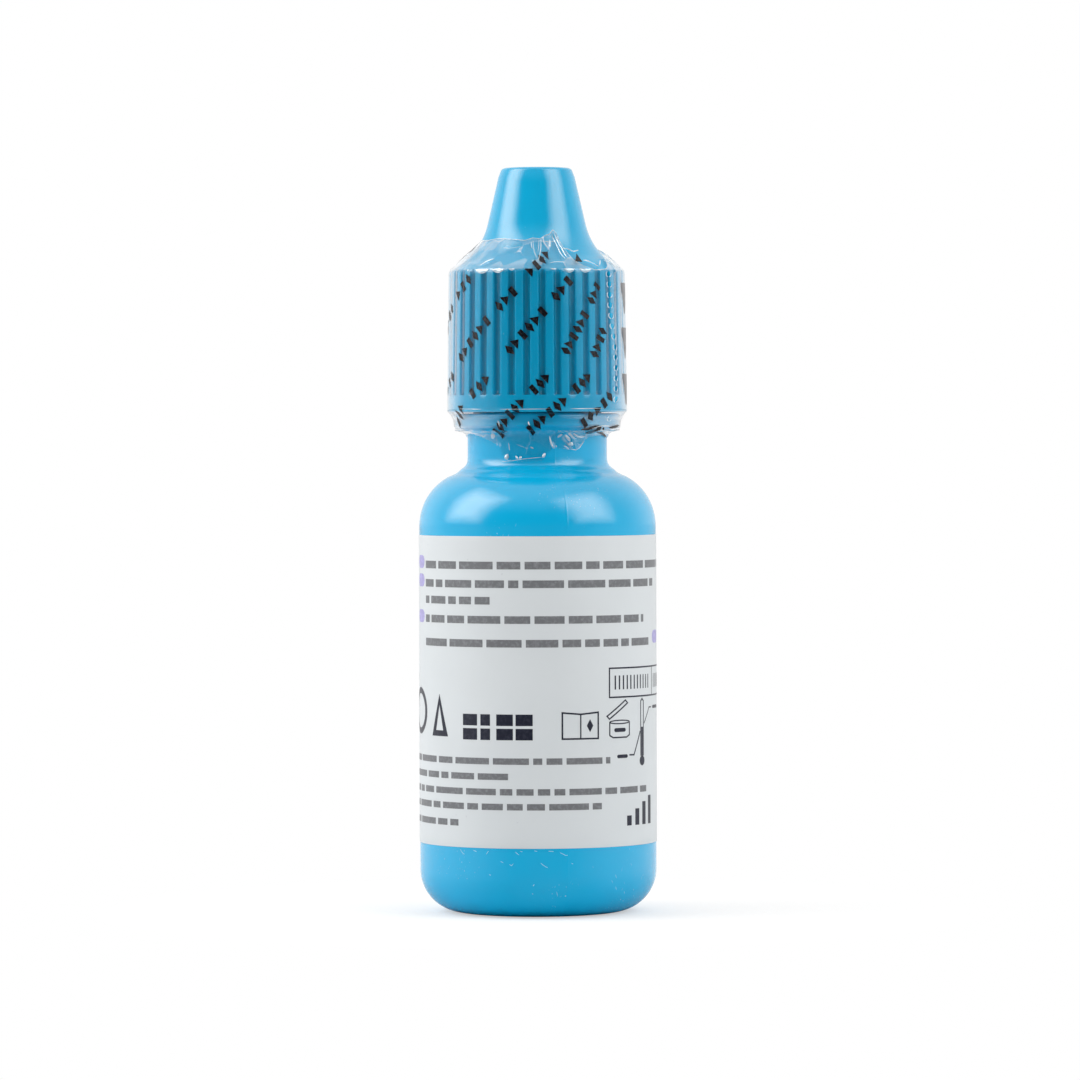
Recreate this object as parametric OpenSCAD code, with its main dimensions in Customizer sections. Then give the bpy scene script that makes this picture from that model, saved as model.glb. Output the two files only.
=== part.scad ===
// A 10 ml squeeze bottle for eye drops: blown bottle, plug-in dropper tip, ribbed screw cap with a
// swivelling seal disc, wrap-round label, and a clear shrink seal with a tear strip.
// Millimetres, +Z up, origin at the centre of the standing face. The front faces -Y.

/* [Bottle] */
// Outer diameter of the straight wall
body_d = 23.9; // [23:0.1:24.6]
// Height at which the straight wall turns into the shoulder
wall_top = 39; // [37:0.5:44]
// Thickness of the blown wall
wall_t = 0.9; // [0.7:0.1:1.1]
// Radius of the corner between the wall and the base
base_corner_r = 4.3; // [3.6:0.1:4.8]
// Width of the flat ring that the bottle stands on
foot_w = 1; // [0.6:0.1:1.4]
// Height of the hollow under the base
push_up = 0.9; // [0.5:0.1:1.2]
// Radius of the domed shoulder
shoulder_r = 5.6; // [5.2:0.1:5.8]
// Height of the drops inside, for 10 ml
fill_z = 28.1; // [12:0.1:32]

/* [Neck] */
// Outer diameter of the plain neck
neck_d = 14.1; // [13.7:0.1:14.3]
// Bore that holds the dropper tip
neck_bore = 10; // [9.6:0.1:10]
// Length of plain neck between the shoulder and the bead
neck_h = 5; // [4.5:0.1:6]
// Outer diameter of the bead under the cap
bead_d = 16.6; // [16:0.1:16.8]
// Height of the bead
bead_h = 1.35; // [1:0.05:1.35]
// Outer diameter of the threaded finish
finish_d = 12.9; // [12.7:0.1:13]
// Height of the finish above the bead
finish_h = 11.25; // [11.1:0.05:11.3]

/* [Thread] */
// Rise in one turn
thread_lead = 3; // [2.9:0.1:3.1]
// Turns of thread on the neck
neck_turns = 1.5; // [1:0.25:1.75]
// Turns of thread in the cap
cap_turns = 1.25; // [1:0.25:1.5]

/* [Dropper tip] */
// Length of the plug below the lip
plug_h = 8; // [6:0.5:9]
// Diameter of the flange that rests on the lip
flange_d = 12.4; // [12:0.1:12.6]
// Outer diameter of the nozzle's end
nozzle_d = 3.9; // [3.6:0.1:4.1]
// Diameter of the hole that the drops come through
orifice_d = 0.6; // [0.5:0.1:0.8]

/* [Cap] */
// Diameter over the ribs at the open end
skirt_d = 18.1; // [18:0.1:18.4]
// How much narrower the ribs are at the shoulder
skirt_draft = 0.4; // [0.2:0.1:0.5]
// Height of the skirt, up to the shoulder
skirt_h = 14.1; // [14:0.05:14.3]
// Inner diameter of the skirt
skirt_bore = 14.9; // [14.8:0.1:15]
// Height of the plain band under the ribs
band_h = 1.6; // [1.2:0.1:2.2]
// Number of ribs
rib_count = 36; // [30:1:40]
// Depth of the grooves between the ribs
groove_depth = 0.45; // [0.3:0.05:0.5]
// Width of the grooves
groove_w = 0.66; // [0.5:0.02:0.7]
// Whole height of the cap
cap_h = 24.5; // [24.4:0.1:25.5]
// Diameter of the cone's flat top
cone_top_d = 7.3; // [7.2:0.1:7.8]
// Slope of the cone's side, in degrees from upright
cone_slope = 13; // [12:0.1:14]
// Radius of the flare where the cone meets the shoulder
flare_r = 7; // [6.8:0.1:7.2]

/* [Label] */
// Height of the label's lower edge
label_z = 7.1; // [6:0.1:8]
// Height of the label
label_h = 31; // [25:0.5:31]
// Bare gap between the label's two ends, at the back
label_gap = 3; // [1:0.5:6]

/* [Shrink seal] */
// Thickness of the film
film_t = 0.1; // [0.08:0.01:0.12]
// How far up the cone the film reaches, above the cap's shoulder
film_rise = 3.1; // [2.8:0.1:3.4]
// Height of the film's lower edge on the neck
film_foot_z = 46.3; // [46:0.1:47]
// Angle from the front to the first row of perforations
strip_start = 58; // [45:1:70]
// Angle that the tear strip spans
strip_span = 42; // [30:1:50]

/* [Hidden] */
$fn = 96;

ARC_STEPS = 10;          // straight steps in a rounded corner of a profile
THREAD_STEPS = 36;       // rings of a thread in one turn
PRESS = 0.05;            // how far the tip's sealing rings bite into the neck
RUNNING = 0.05;          // clearance between the cap and its seal disc
SNUG = 0.06;             // gap between a close skin and what it covers
SEAT = 0.01;             // gap between pieces that rest on each other
label_t = 0.06;          // thickness of the label

// Bottle, from the base up
body_r = body_d / 2;
neck_r = neck_d / 2;
bore_r = neck_bore / 2;
bead_r = bead_d / 2;
finish_r = finish_d / 2;
edge_r = 0.3;            // rounding of the bead and the lip
foot_r = body_r - base_corner_r;
push_up_r = foot_r - foot_w - 1.5;
shoulder_x = body_r - shoulder_r;
shoulder_end = 63;       // degrees of dome before the neck's fillet takes over
crest_r = shoulder_x + shoulder_r * cos(shoulder_end);
crest_z = wall_top + shoulder_r * sin(shoulder_end);
fillet_r = crest_r - neck_r;
bead_z = crest_z + neck_h;
bead_top = bead_z + bead_h;
lip_z = bead_top + finish_h;
inner_corner_r = base_corner_r - wall_t;
inner_shoulder_r = shoulder_r - wall_t;
floor_z = push_up + wall_t;

// Cap, from the open end up
cap_gap = 0.25;          // between the bead and the cap
cap_z = bead_top + cap_gap;
skirt_r = skirt_d / 2;
skirt_top_r = skirt_r - skirt_draft / 2;
skirt_bore_r = skirt_bore / 2;
shoulder_z = cap_z + skirt_h;
cap_top = cap_z + cap_h;
cone_top_r = cone_top_d / 2;
cone_edge_r = 0.45;      // rounding round the flat top
flare_end = 45;          // slope of the flare's outer end, in degrees from upright
shoulder_rise = 1.4;     // height of the sloping shoulder between the ribs and the flare
flare_z = shoulder_z + shoulder_rise;
flare_drop = flare_r * (sin(flare_end) - sin(cone_slope));
flare_out = flare_r * (cos(cone_slope) - cos(flare_end));
flare_top_z = flare_z + flare_drop;
flare_top_r = cone_top_r + (cap_top - flare_top_z) * tan(cone_slope);
flare_foot_r = flare_top_r + flare_out;
flare_x = flare_foot_r + flare_r * cos(flare_end);
flare_centre_z = flare_z + flare_r * sin(flare_end);
roof_z = lip_z + 1.8;    // underside of the cap's shoulder
crown_z = cap_top - 1.15;

// Seal disc in the cap's crown
disc_r = 2.45;
disc_t = 0.8;
disc_z = crown_z - RUNNING - disc_t;
snap_r = 2.3;            // bead in the cap that keeps the disc in
boss_r = 1.5;            // foot of the disc, over the nozzle's end
boss_gap = 0.06;

// Dropper tip
tip_top = disc_z - 0.5;
flange_r = flange_d / 2;
flange_top = lip_z + 0.8;
nozzle_r = nozzle_d / 2;
nozzle_edge_r = 0.7;
nozzle_foot_r = 4.4;
plug_r = bore_r - 0.02;  // plug between its sealing rings
ring_r = bore_r + PRESS;
ring_half = 0.3;
cavity_r = 4;
orifice_r = orifice_d / 2;
cup_r = 0.95;            // mouth of the cup that shapes the drop
cup_h = 1.2;

// Threads. The cap's thread runs just under the neck's.
ROOT_SINK = 0.2;         // depth of a thread's root in its wall
neck_thread_z = bead_top + 3.2;
cap_thread_z = neck_thread_z - 1.25;
neck_crest_r = 7.15;
cap_crest_r = 6.62;

// Points of a circular arc, from angle a0 to a1
function arc(x, z, r, a0, a1, n = ARC_STEPS) =
    [for (i = [0:n]) let (a = a0 + (a1 - a0) * i / n) [x + r * cos(a), z + r * sin(a)]];

// A ridge swept up a screw line, faded out over a sixth of a turn at both ends. It stands out from
// its root when crest_r is the larger radius, and in when it is the smaller.
module thread_ridge(root_r, crest_r, root_half, crest_half, z, turns) {
    steps = round(turns * THREAD_STEPS);
    fade = THREAD_STEPS / 6;
    stub = 0.12;
    side = sign(crest_r - root_r);
    points = [for (i = [0:steps])
        let (a = 360 * i / THREAD_STEPS,
             h = z + thread_lead * i / THREAD_STEPS,
             full = min(1, stub + i / fade, stub + (steps - i) / fade),
             r = root_r + (crest_r - root_r) * full,
             ring = [[root_r, -root_half], [r, -crest_half], [r, crest_half], [root_r, root_half]])
        each [for (p = ring) [p[0] * cos(a), p[0] * sin(a), h + side * p[1]]]];
    flanks = [for (i = [0:steps - 1], k = [0:3])
        let (a = 4 * i + k, b = 4 * i + (k + 1) % 4)
        each [[a, b, b + 4], [a, b + 4, a + 4]]];
    end = 4 * steps;
    ends = [[0, 2, 1], [0, 3, 2], [end, end + 1, end + 2], [end, end + 2, end + 3]];
    polyhedron(points = points, faces = concat(flanks, ends));
}

// Outside of the bottle, from the middle of the base up to the lip
function bottle_outside() = concat(
    [[0, push_up], [push_up_r, push_up], [foot_r - foot_w, 0], [foot_r, 0]],
    arc(foot_r, base_corner_r, base_corner_r, -80, 0),
    arc(shoulder_x, wall_top, shoulder_r, 0, shoulder_end, 14),
    arc(neck_r + fillet_r, crest_z + fillet_r, fillet_r, 265, 180),
    [[neck_r, bead_z - 0.5], [bead_r - 0.35, bead_z - 0.1]],
    arc(bead_r - edge_r, bead_z + edge_r, edge_r, -75, 0, 4),
    arc(bead_r - edge_r, bead_top - edge_r, edge_r, 0, 90, 4),
    [[finish_r, bead_top]],
    arc(finish_r - edge_r, lip_z - edge_r, edge_r, 0, 90, 4),
    [[0, lip_z]]);

// Hollow of the bottle up to the shoulder, set in by a gap
function bottle_inside(gap = 0) = concat(
    [[0, floor_z + gap], [push_up_r, floor_z + gap]],
    arc(foot_r, base_corner_r, inner_corner_r - gap, -75, 0),
    arc(shoulder_x, wall_top, inner_shoulder_r - gap, 0, 90),
    [[0, wall_top + inner_shoulder_r - gap]]);

// Blown bottle with its neck, bead and screw thread
module bottle() {
    color("deepskyblue") {
        difference() {
            rotate_extrude() polygon(bottle_outside());
            rotate_extrude() polygon(bottle_inside());
            translate([0, 0, wall_top]) cylinder(h = lip_z, r = bore_r);
        }
        thread_ridge(finish_r - ROOT_SINK, neck_crest_r, 0.75, 0.4, neck_thread_z, neck_turns);
    }
}

// A sealing ring round the plug, at a height
function sealing_ring(z) = [[plug_r, z - ring_half], [ring_r, z], [plug_r, z + ring_half]];

// Soft plug with a flange and a drop-forming nozzle
module dropper_tip() {
    outside = concat(
        [[cavity_r, lip_z - plug_h], [plug_r - 0.4, lip_z - plug_h], [plug_r, lip_z - plug_h + 0.8]],
        sealing_ring(lip_z - 4.7),
        sealing_ring(lip_z - 2),
        [[plug_r, lip_z + SEAT], [flange_r - 0.2, lip_z + SEAT]],
        arc(flange_r - 0.25, flange_top - 0.25, 0.25, -30, 90, 6),
        arc(nozzle_foot_r + 0.4, flange_top + 0.4, 0.4, 270, 195, 4),
        [[nozzle_foot_r - 1.05, lip_z + 4.8], [nozzle_r + 0.15, tip_top - 2.2], [nozzle_r, tip_top - 1.4]],
        arc(nozzle_r - nozzle_edge_r, tip_top - nozzle_edge_r, nozzle_edge_r, 0, 90, 6));
    inside = [
        [cup_r, tip_top], [orifice_r, tip_top - cup_h], [orifice_r, tip_top - 2.6],
        [0.9, tip_top - 3.2], [1.4, lip_z + 4.4], [3.1, lip_z + 0.2], [cavity_r, lip_z - 1.6]];
    color("white") rotate_extrude() polygon(concat(outside, inside));
}

// The liquid, filled to its level
module eye_drops() {
    color("aliceblue") intersection() {
        rotate_extrude() polygon(bottle_inside(SNUG));
        cylinder(h = fill_z, r = body_r);
    }
}

// Wrap-round paper label with a bare gap at the back
module label() {
    gap_angle = label_gap / body_r * 180 / PI;
    color("whitesmoke") rotate([0, 0, 90 + gap_angle / 2])
        rotate_extrude(angle = 360 - gap_angle)
            translate([body_r + SEAT, label_z]) square([label_t, label_h]);
}

// Radius over the ribs at a height
function rib_r(z) = skirt_r - (z - cap_z) * (skirt_r - skirt_top_r) / skirt_h;

// Radius of the cap's flare or cone at a height above the sloping shoulder
function cone_r(z) = z > flare_top_z
    ? cone_top_r + (cap_top - z) * tan(cone_slope)
    : flare_x - sqrt(flare_r * flare_r - (flare_centre_z - z) * (flare_centre_z - z));

// Outside of the cap, from the skirt's open edge up to the flat top
function cap_outside() = concat(
    [[0, cap_z]],
    arc(skirt_r - 0.2, cap_z + 0.2, 0.2, -90, 0, 4),
    arc(skirt_top_r - edge_r, shoulder_z - edge_r, edge_r, 0, 80, 5),
    arc(flare_x, flare_centre_z, flare_r, 180 + flare_end, 180 + cone_slope),
    arc(cone_top_r - cone_edge_r, cap_top - cone_edge_r, cone_edge_r, cone_slope, 90, 6),
    [[0, cap_top]]);

// Inside of the cap, from the open edge up to the crown
function cap_inside() = [
    [0, cap_z], [skirt_bore_r + 0.35, cap_z], [skirt_bore_r, cap_z + 0.5], [skirt_bore_r, roof_z],
    [5.9, roof_z], [5.3, roof_z + 2.6], [4.3, roof_z + 4.6], [3.5, roof_z + 6.6], [2.8, disc_z - 0.45],
    [snap_r, disc_z - 0.2], [disc_r + RUNNING, disc_z - 0.05], [disc_r + RUNNING, crown_z], [0, crown_z]];

// One round-bottomed groove between two ribs, cut from outside
module groove() {
    bottom_r = groove_w / 2;
    z = cap_z + band_h;
    lean = atan((skirt_r - skirt_top_r) / skirt_h);
    translate([rib_r(z) - groove_depth + bottom_r, 0, z]) rotate([0, -lean, 0])
        linear_extrude(height = skirt_h) union() {
            circle(r = bottom_r, $fn = 24);
            translate([0, -bottom_r]) square([2, groove_w]);
        }
}

// Ribbed screw cap with its tall cone and inner thread
module cap() {
    pitch = 360 / rib_count;
    first_groove = -90 + pitch / 3;
    color("dodgerblue") {
        difference() {
            rotate_extrude() polygon(cap_outside());
            rotate_extrude() polygon(cap_inside());
            for (i = [0:rib_count - 1]) rotate([0, 0, first_groove + i * pitch]) groove();
        }
        thread_ridge(skirt_bore_r + ROOT_SINK, cap_crest_r, 0.65, 0.35, cap_thread_z, cap_turns);
    }
}

// Soft disc in the cap's crown. Its pin fills the nozzle's cup.
module cap_seal_disc() {
    boss_z = tip_top + boss_gap;
    pin_z = tip_top - cup_h + 0.2;
    color("white") rotate_extrude() polygon([
        [0, pin_z], [orifice_r - 0.02, pin_z], [cup_r - 0.2, boss_z], [boss_r, boss_z],
        [boss_r + 0.2, disc_z - 0.15], [boss_r + 0.6, disc_z],
        [disc_r, disc_z], [disc_r, disc_z + disc_t], [0, disc_z + disc_t]]);
}

// Film round the cap: up the ribs, then straight from the shoulder's edge to the cone
function sleeve_profile() =
    let (foot_z = cap_z + 0.05,
         top_z = shoulder_z + film_rise,
         foot = skirt_r + SNUG,
         edge = skirt_top_r + SNUG,
         top = cone_r(top_z) + SNUG)
    [[foot, foot_z], [edge, shoulder_z], [top, top_z],
     [top + film_t, top_z + film_t / 2], [edge + film_t, shoulder_z + film_t / 2], [foot + film_t, foot_z]];

// The part of the film between two angles, counted from the front towards +X
module sleeve_part(from, span) {
    rotate([0, 0, from - 90]) rotate_extrude(angle = span) polygon(sleeve_profile());
}

// Film round the cap, without the tear strip
module seal_sleeve() {
    color([0.8, 0.9, 0.95, 0.4]) sleeve_part(strip_start + strip_span, 360 - strip_span);
}

// Strip between the two rows of perforations
module tear_strip() {
    cut = 0.4;           // degrees of gap on each side
    color([0.7, 0.8, 0.85, 0.4]) sleeve_part(strip_start + cut, strip_span - 2 * cut);
}

// Lower end of the film, drawn in over the bead and the neck
module neck_film() {
    path = [
        [skirt_r + SNUG, cap_z - 0.03], [bead_r + SNUG, bead_top - 0.1], [bead_r + SNUG, bead_z],
        [neck_r + SNUG, bead_z - 0.75], [neck_r + SNUG, film_foot_z]];
    last = len(path) - 1;
    outer = [for (i = [last:-1:0]) path[i] + [film_t, i == 3 ? -0.08 : 0]];
    color([0.8, 0.9, 0.95, 0.4]) rotate_extrude() polygon(concat(path, outer));
}

bottle();
dropper_tip();
eye_drops();
label();
neck_film();
cap();
cap_seal_disc();
seal_sleeve();
tear_strip();
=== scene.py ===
"""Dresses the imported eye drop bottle: blown bottle, ribbed cap, dropper tip, wrap-round label, and a
clear shrink film with a tear strip. Sizes are millimetres until add_mesh() turns them into metres.
Angles called az are counted from the front (-Y) towards +X."""

import math
import random

import bmesh
import bpy
import numpy as np
from mathutils import Euler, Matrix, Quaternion, Vector


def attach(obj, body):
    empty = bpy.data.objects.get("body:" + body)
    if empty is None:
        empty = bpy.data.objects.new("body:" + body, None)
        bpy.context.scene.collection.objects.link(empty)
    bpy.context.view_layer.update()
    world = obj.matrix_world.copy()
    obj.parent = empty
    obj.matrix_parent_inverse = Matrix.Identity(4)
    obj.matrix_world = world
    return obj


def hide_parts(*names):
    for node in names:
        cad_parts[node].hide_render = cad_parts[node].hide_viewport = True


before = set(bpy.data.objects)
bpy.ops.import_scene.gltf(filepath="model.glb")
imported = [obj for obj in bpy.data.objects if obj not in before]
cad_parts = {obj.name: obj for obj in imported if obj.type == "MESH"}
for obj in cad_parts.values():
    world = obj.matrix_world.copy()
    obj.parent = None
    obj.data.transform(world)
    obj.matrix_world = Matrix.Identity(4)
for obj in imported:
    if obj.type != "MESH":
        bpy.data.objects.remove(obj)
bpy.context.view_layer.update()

MM = 0.001
DEG = math.pi / 180

# Bottle
BODY_R = 11.95
WALL_TOP = 39.0
CORNER_R = 4.3
FOOT_R = BODY_R - CORNER_R
PUSH_UP = 0.9
PUSH_UP_R = 5.15
SHOULDER_R = 5.6
SHOULDER_X = BODY_R - SHOULDER_R
SHOULDER_END = 63.0
WALL = 0.9
NECK_R = 7.05
CREST_Z = WALL_TOP + SHOULDER_R * math.sin(SHOULDER_END * DEG)
BEAD_Z = CREST_Z + 5.0
BEAD_TOP = BEAD_Z + 1.35
BEAD_R = 8.3
FINISH_R = 6.45
BORE_R = 5.0
LIP_Z = BEAD_TOP + 11.25
SEAM_AZ = 14.4

# Cap
CAP_Z = BEAD_TOP + 0.25
SKIRT_R = 9.05
SKIRT_TOP_R = 8.85
SKIRT_H = 14.1
SHOULDER_Z = CAP_Z + SKIRT_H
CAP_TOP = CAP_Z + 24.5
BAND_TOP = CAP_Z + 1.6
RIM_Z = BEAD_TOP + 0.11
CAP_BORE_R = 7.45
RIBS = 36
PITCH = 360 / RIBS
GROOVE_AZ = PITCH / 3
RIB_MEAN_R = 8.95
CONE_TOP_R = 3.65
CONE_SLOPE = 13.0
FLARE_R = 7.0
SHOULDER_RISE = 1.4
FLARE_Z = SHOULDER_Z + SHOULDER_RISE
FLARE_DROP = FLARE_R * (math.sin(45 * DEG) - math.sin(CONE_SLOPE * DEG))
FLARE_TOP_Z = FLARE_Z + FLARE_DROP
FLARE_TOP_R = CONE_TOP_R + (CAP_TOP - FLARE_TOP_Z) * math.tan(CONE_SLOPE * DEG)
FLARE_FOOT_R = FLARE_TOP_R + FLARE_R * (math.cos(CONE_SLOPE * DEG) - math.cos(45 * DEG))
FLARE_X = FLARE_FOOT_R + FLARE_R * math.cos(45 * DEG)
FLARE_MID_Z = FLARE_Z + FLARE_R * math.sin(45 * DEG)
ROOF_Z = LIP_Z + 1.8
CROWN_Z = CAP_TOP - 1.15
DISC_Z = CROWN_Z - 0.85
TIP_TOP = DISC_Z - 0.5

# Threads
LEAD = 3.0
NECK_THREAD_R = 7.15
CAP_THREAD_R = 6.62
NECK_THREAD_Z = BEAD_TOP + 3.2
CAP_THREAD_Z = NECK_THREAD_Z - 1.25

# Label
LABEL_R = 12.004
LABEL_PER = LABEL_R * DEG
LABEL_Z = 7.1
LABEL_H = 31.0
LABEL_GAP_AZ = 3.0 / BODY_R / DEG

# Film. A degree round it counts as FILM_PER mm, and its folds are measured at FOLD_R
FILM_PER = DEG * 9.0
FOLD_R = 8.0
FILM_OUT = 0.045
FILM_FOOT = 50.59
HOLE_TOP_Z = 64.25
HOLE_PITCH = 1.045
HOLE_R = 0.29
HOLE_WIDE = 1.45
HOLES = 13
STRIP_FROM = 58.0
STRIP_TO = 100.0
TENT_TOP_Z = 67.79

# Floor
FLOOR = 4.0
PAPER = (0.95, 0.95, 0.95)


def smooth(t):
    t = np.clip(t, 0, 1)
    return t * t * (3 - 2 * t)


def arc(x, z, r, a0, a1, n):
    """Points of a circular arc in a lathe profile, from angle a0 to a1."""
    t = np.linspace(a0, a1, n + 1) * DEG
    return np.column_stack([x + r * np.cos(t), z + r * np.sin(t)])


def wall_points(r, heights):
    return [[r, z] for z in heights]


def spline(points, cuts):
    """A smooth line through points, each of its spans cut into short pieces."""
    p = np.asarray(points, float)
    p = np.vstack([2 * p[0] - p[1], p, 2 * p[-1] - p[-2]])
    line = []
    for a, b, c, d in zip(p, p[1:], p[2:], p[3:]):
        for t in np.arange(cuts) / cuts:
            line.append(0.5 * (2 * b + (c - a) * t + (2 * a - 5 * b + 4 * c - d) * t ** 2
                               + (3 * b - a - 3 * c + d) * t ** 3))
    return np.array(line + [p[-2]])


def place(r, az, z):
    """Points in space at a radius, an angle from the front and a height."""
    a = np.asarray(az, float) * DEG
    r, a, z = np.broadcast_arrays(r, a, z)
    return np.stack([r * np.sin(a), -r * np.cos(a), z], axis=-1)


def lathe_points(profile, az):
    profile = np.asarray(profile, float)
    return place(profile[:, :1], az[None, :], profile[:, 1:])


def grid_faces(rows, cols, wrap, start=0):
    """Quads over rows of points. They face out where the rows climb and az grows."""
    faces = []
    for i in range(rows - 1):
        for j in range(cols if wrap else cols - 1):
            a, d = start + i * cols + j, start + (i + 1) * cols + j
            k = (j + 1) % cols - j
            faces.append((a, a + k, d + k, d))
    return faces


def shell(points, first_pole=False):
    """Vertices and faces of rings. The last ring shrinks to a point, and so does the first if asked."""
    rings = points[int(first_pole):-1]
    rows, cols = rings.shape[:2]
    verts = list(rings.reshape(-1, 3))
    faces = grid_faces(rows, cols, True)
    if first_pole:
        faces += [(len(verts), (j + 1) % cols, j) for j in range(cols)]
        verts.append(points[0].mean(axis=0))
    last = (rows - 1) * cols
    faces += [(len(verts), last + j, last + (j + 1) % cols) for j in range(cols)]
    verts.append(points[-1].mean(axis=0))
    return verts, faces


def link(name, data):
    obj = bpy.data.objects.new(name, data)
    bpy.context.scene.collection.objects.link(obj)
    return obj


def add_mesh(name, verts, faces, material, body, replaces=(), sharp=38):
    mesh = bpy.data.meshes.new(name)
    mesh.from_pydata((np.asarray(verts, float) * MM).tolist(), [], faces)
    mesh.validate()
    mesh.shade_smooth()
    if sharp:
        mesh.set_sharp_from_angle(angle=sharp * DEG)
    mesh.materials.append(material)
    piece = link(name, mesh)
    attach(piece, body)
    if replaces:
        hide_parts(*replaces)


# Materials

class Value:
    """An output of a shader node that further nodes can be worked out from."""

    def __init__(self, tree, socket):
        self.tree, self.socket = tree, socket

    def math(self, operation, other=0.0):
        return self.tree.node("ShaderNodeMath", {0: self, 1: other}, operation=operation)

    def __add__(self, other):
        return self.math("ADD", other)

    def __mul__(self, other):
        return self.math("MULTIPLY", other)

    def __rsub__(self, other):
        return self * -1.0 + other

    def mix(self, a, b):
        """Colour a where this is 0 and b where it is 1."""
        return self.tree.node("ShaderNodeMix", {"Factor": self, 6: a, 7: b}, 2, data_type="RGBA")

    def between(self, low, high):
        """0 at or under low and 1 at or over high. Low may be the larger."""
        return self.tree.node("ShaderNodeMapRange", {"Value": self, "From Min": low, "From Max": high})

    def ramp(self, *stops):
        """Greys that change along stops of (position, grey)."""
        n = self.tree.new("ShaderNodeValToRGB", {"Fac": self})
        elements = n.color_ramp.elements
        while len(elements) < len(stops):
            elements.new(0.5)
        for element, (position, grey) in zip(elements, stops):
            element.position = position
            element.color = (grey, grey, grey, 1)
        return Value(self.tree, n.outputs["Color"])


class Tree:
    """The node tree of a material or a world, emptied and built up again."""

    def __init__(self, owner, coordinates="Object"):
        owner.use_nodes = True
        self.owner, self.tree = owner, owner.node_tree
        self.tree.nodes.clear()
        self.where = self.node("ShaderNodeTexCoord", {}, coordinates)

    def new(self, kind, inputs, **settings):
        n = self.tree.nodes.new(kind)
        for key, value in settings.items():
            setattr(n, key, value)
        for key, value in inputs.items():
            socket = n.inputs[key]
            if isinstance(value, Value):
                self.tree.links.new(value.socket, socket)
            elif socket.type == "RGBA":
                socket.default_value = (*value, 1)
            else:
                socket.default_value = value
        return n

    def node(self, kind, inputs, output=0, **settings):
        return Value(self, self.new(kind, inputs, **settings).outputs[output])

    def axis(self, name):
        return self.node("ShaderNodeSeparateXYZ", {0: self.where}, name)

    def length(self, vector):
        return self.node("ShaderNodeVectorMath", {0: vector}, "Value", operation="LENGTH")

    def space(self, size, turn=(0, 0, 0)):
        """Object space, turned first and then divided by a size along each of its axes."""
        return self.node("ShaderNodeMapping", {"Vector": self.where, "Scale": size,
                                               "Rotation": [t * DEG for t in turn]}, vector_type="TEXTURE")

    def noise(self, scale, detail=2.0, rough=0.5, distort=0.0, space=None):
        return self.node("ShaderNodeTexNoise", {"Vector": space or self.where, "Scale": scale,
                                                "Detail": detail, "Roughness": rough, "Distortion": distort})

    def bump(self, height, strength, distance):
        return self.node("ShaderNodeBump", {"Height": height, "Strength": strength, "Distance": distance})

    def seen_straight(self):
        """1 for rays of the camera that met nothing or passed through something clear."""
        rays = [self.node("ShaderNodeLightPath", {}, f"Is {kind} Ray") for kind in ("Camera", "Transmission")]
        return rays[0].math("MAXIMUM", rays[1])

    def finish(self, colour, roughness, **sockets):
        """The material, with a principled surface. Sockets have _ for a space in their names."""
        inputs = {key.replace("_", " "): value for key, value in sockets.items()}
        inputs.update({"Base Color": colour, "Roughness": roughness})
        surface = self.node("ShaderNodeBsdfPrincipled", inputs)
        self.new("ShaderNodeOutputMaterial", {"Surface": surface})
        return self.owner


def material_tree(name):
    return Tree(bpy.data.materials.new(name))


def moulded_plastic(name, colour, pale, rough, peel_scale, peel, wear, groove_shade=False):
    """Pigmented moulded plastic: faint mottling, orange peel, rubbed hairlines and tiny nicks, and, if asked,
    painted shade in the cap's grooves.
    """
    t = material_tree(name)
    base = t.noise(70, 3).ramp((0.35, 0), (0.75, 1)).mix(colour, pale)
    if groove_shade:
        # Painted shade: the plastic is darker at the bottom of the cap's grooves, where less light reaches
        level = t.node("ShaderNodeVectorMath", {0: t.where, 1: (1, 1, 0)}, operation="MULTIPLY")
        painted_groove_shade = t.length(level).between(SKIRT_TOP_R * MM, (SKIRT_TOP_R - 0.2) * MM)
        painted_groove_shade *= t.axis("Z").between((SHOULDER_Z - 0.1) * MM, (SHOULDER_Z - 0.5) * MM)
        base = (painted_groove_shade * 0.28).mix(base, (0, 0, 0))
    hairlines = 0.0
    for size, turn in (((0.00012, 0.00012, 0.0016), (0, 24, 10)), ((0.00014, 0.00014, 0.0011), (0, -31, 65))):
        lines = t.noise(1, 0, space=t.space(size, turn)).ramp((0.79, 0), (0.83, 0.8))
        hairlines = lines.math("MAXIMUM", hairlines)
    hairlines *= t.noise(160).ramp((0.58, 0), (0.68, 1))
    nicks = t.node("ShaderNodeTexVoronoi", {"Vector": t.where, "Scale": 520}, "Distance")
    nicks = nicks.ramp((0.025, 0.8), (0.045, 0)) * t.noise(260, 1).ramp((0.64, 0), (0.66, 1))
    marks = hairlines.math("MAXIMUM", nicks) * wear
    base = marks.mix(base, (0.62, 0.82, 0.9))
    height = t.noise(peel_scale, 2, 0.45) + marks * 0.4
    roughness = t.noise(320, 3).ramp((0.3, rough - 0.02), (0.7, rough + 0.03))
    return t.finish(base, roughness, Normal=t.bump(height, peel, 0.03 * MM), IOR=1.6,
                    Specular_IOR_Level=0.9, Specular_Tint=(1.0, 0.87, 0.74))


def label_material():
    """Coated white label paper with a faint fibre and a soft gloss."""
    t = material_tree("label_paper")
    fibre = t.noise(2600, 3, 0.6, space=t.space((1, 1, 2.8)))
    base = t.noise(90, 3).ramp((0.3, 0), (0.7, 1)).mix((0.592, 0.624, 0.64), (0.62, 0.652, 0.668))
    base = t.noise(1500, 1).ramp((0.78, 0), (0.82, 0.5)).mix(base, (0.5, 0.52, 0.55))
    return t.finish(base, fibre.ramp((0.3, 0.38), (0.7, 0.46)), Normal=t.bump(fibre, 0.12, 0.02 * MM))


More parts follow.
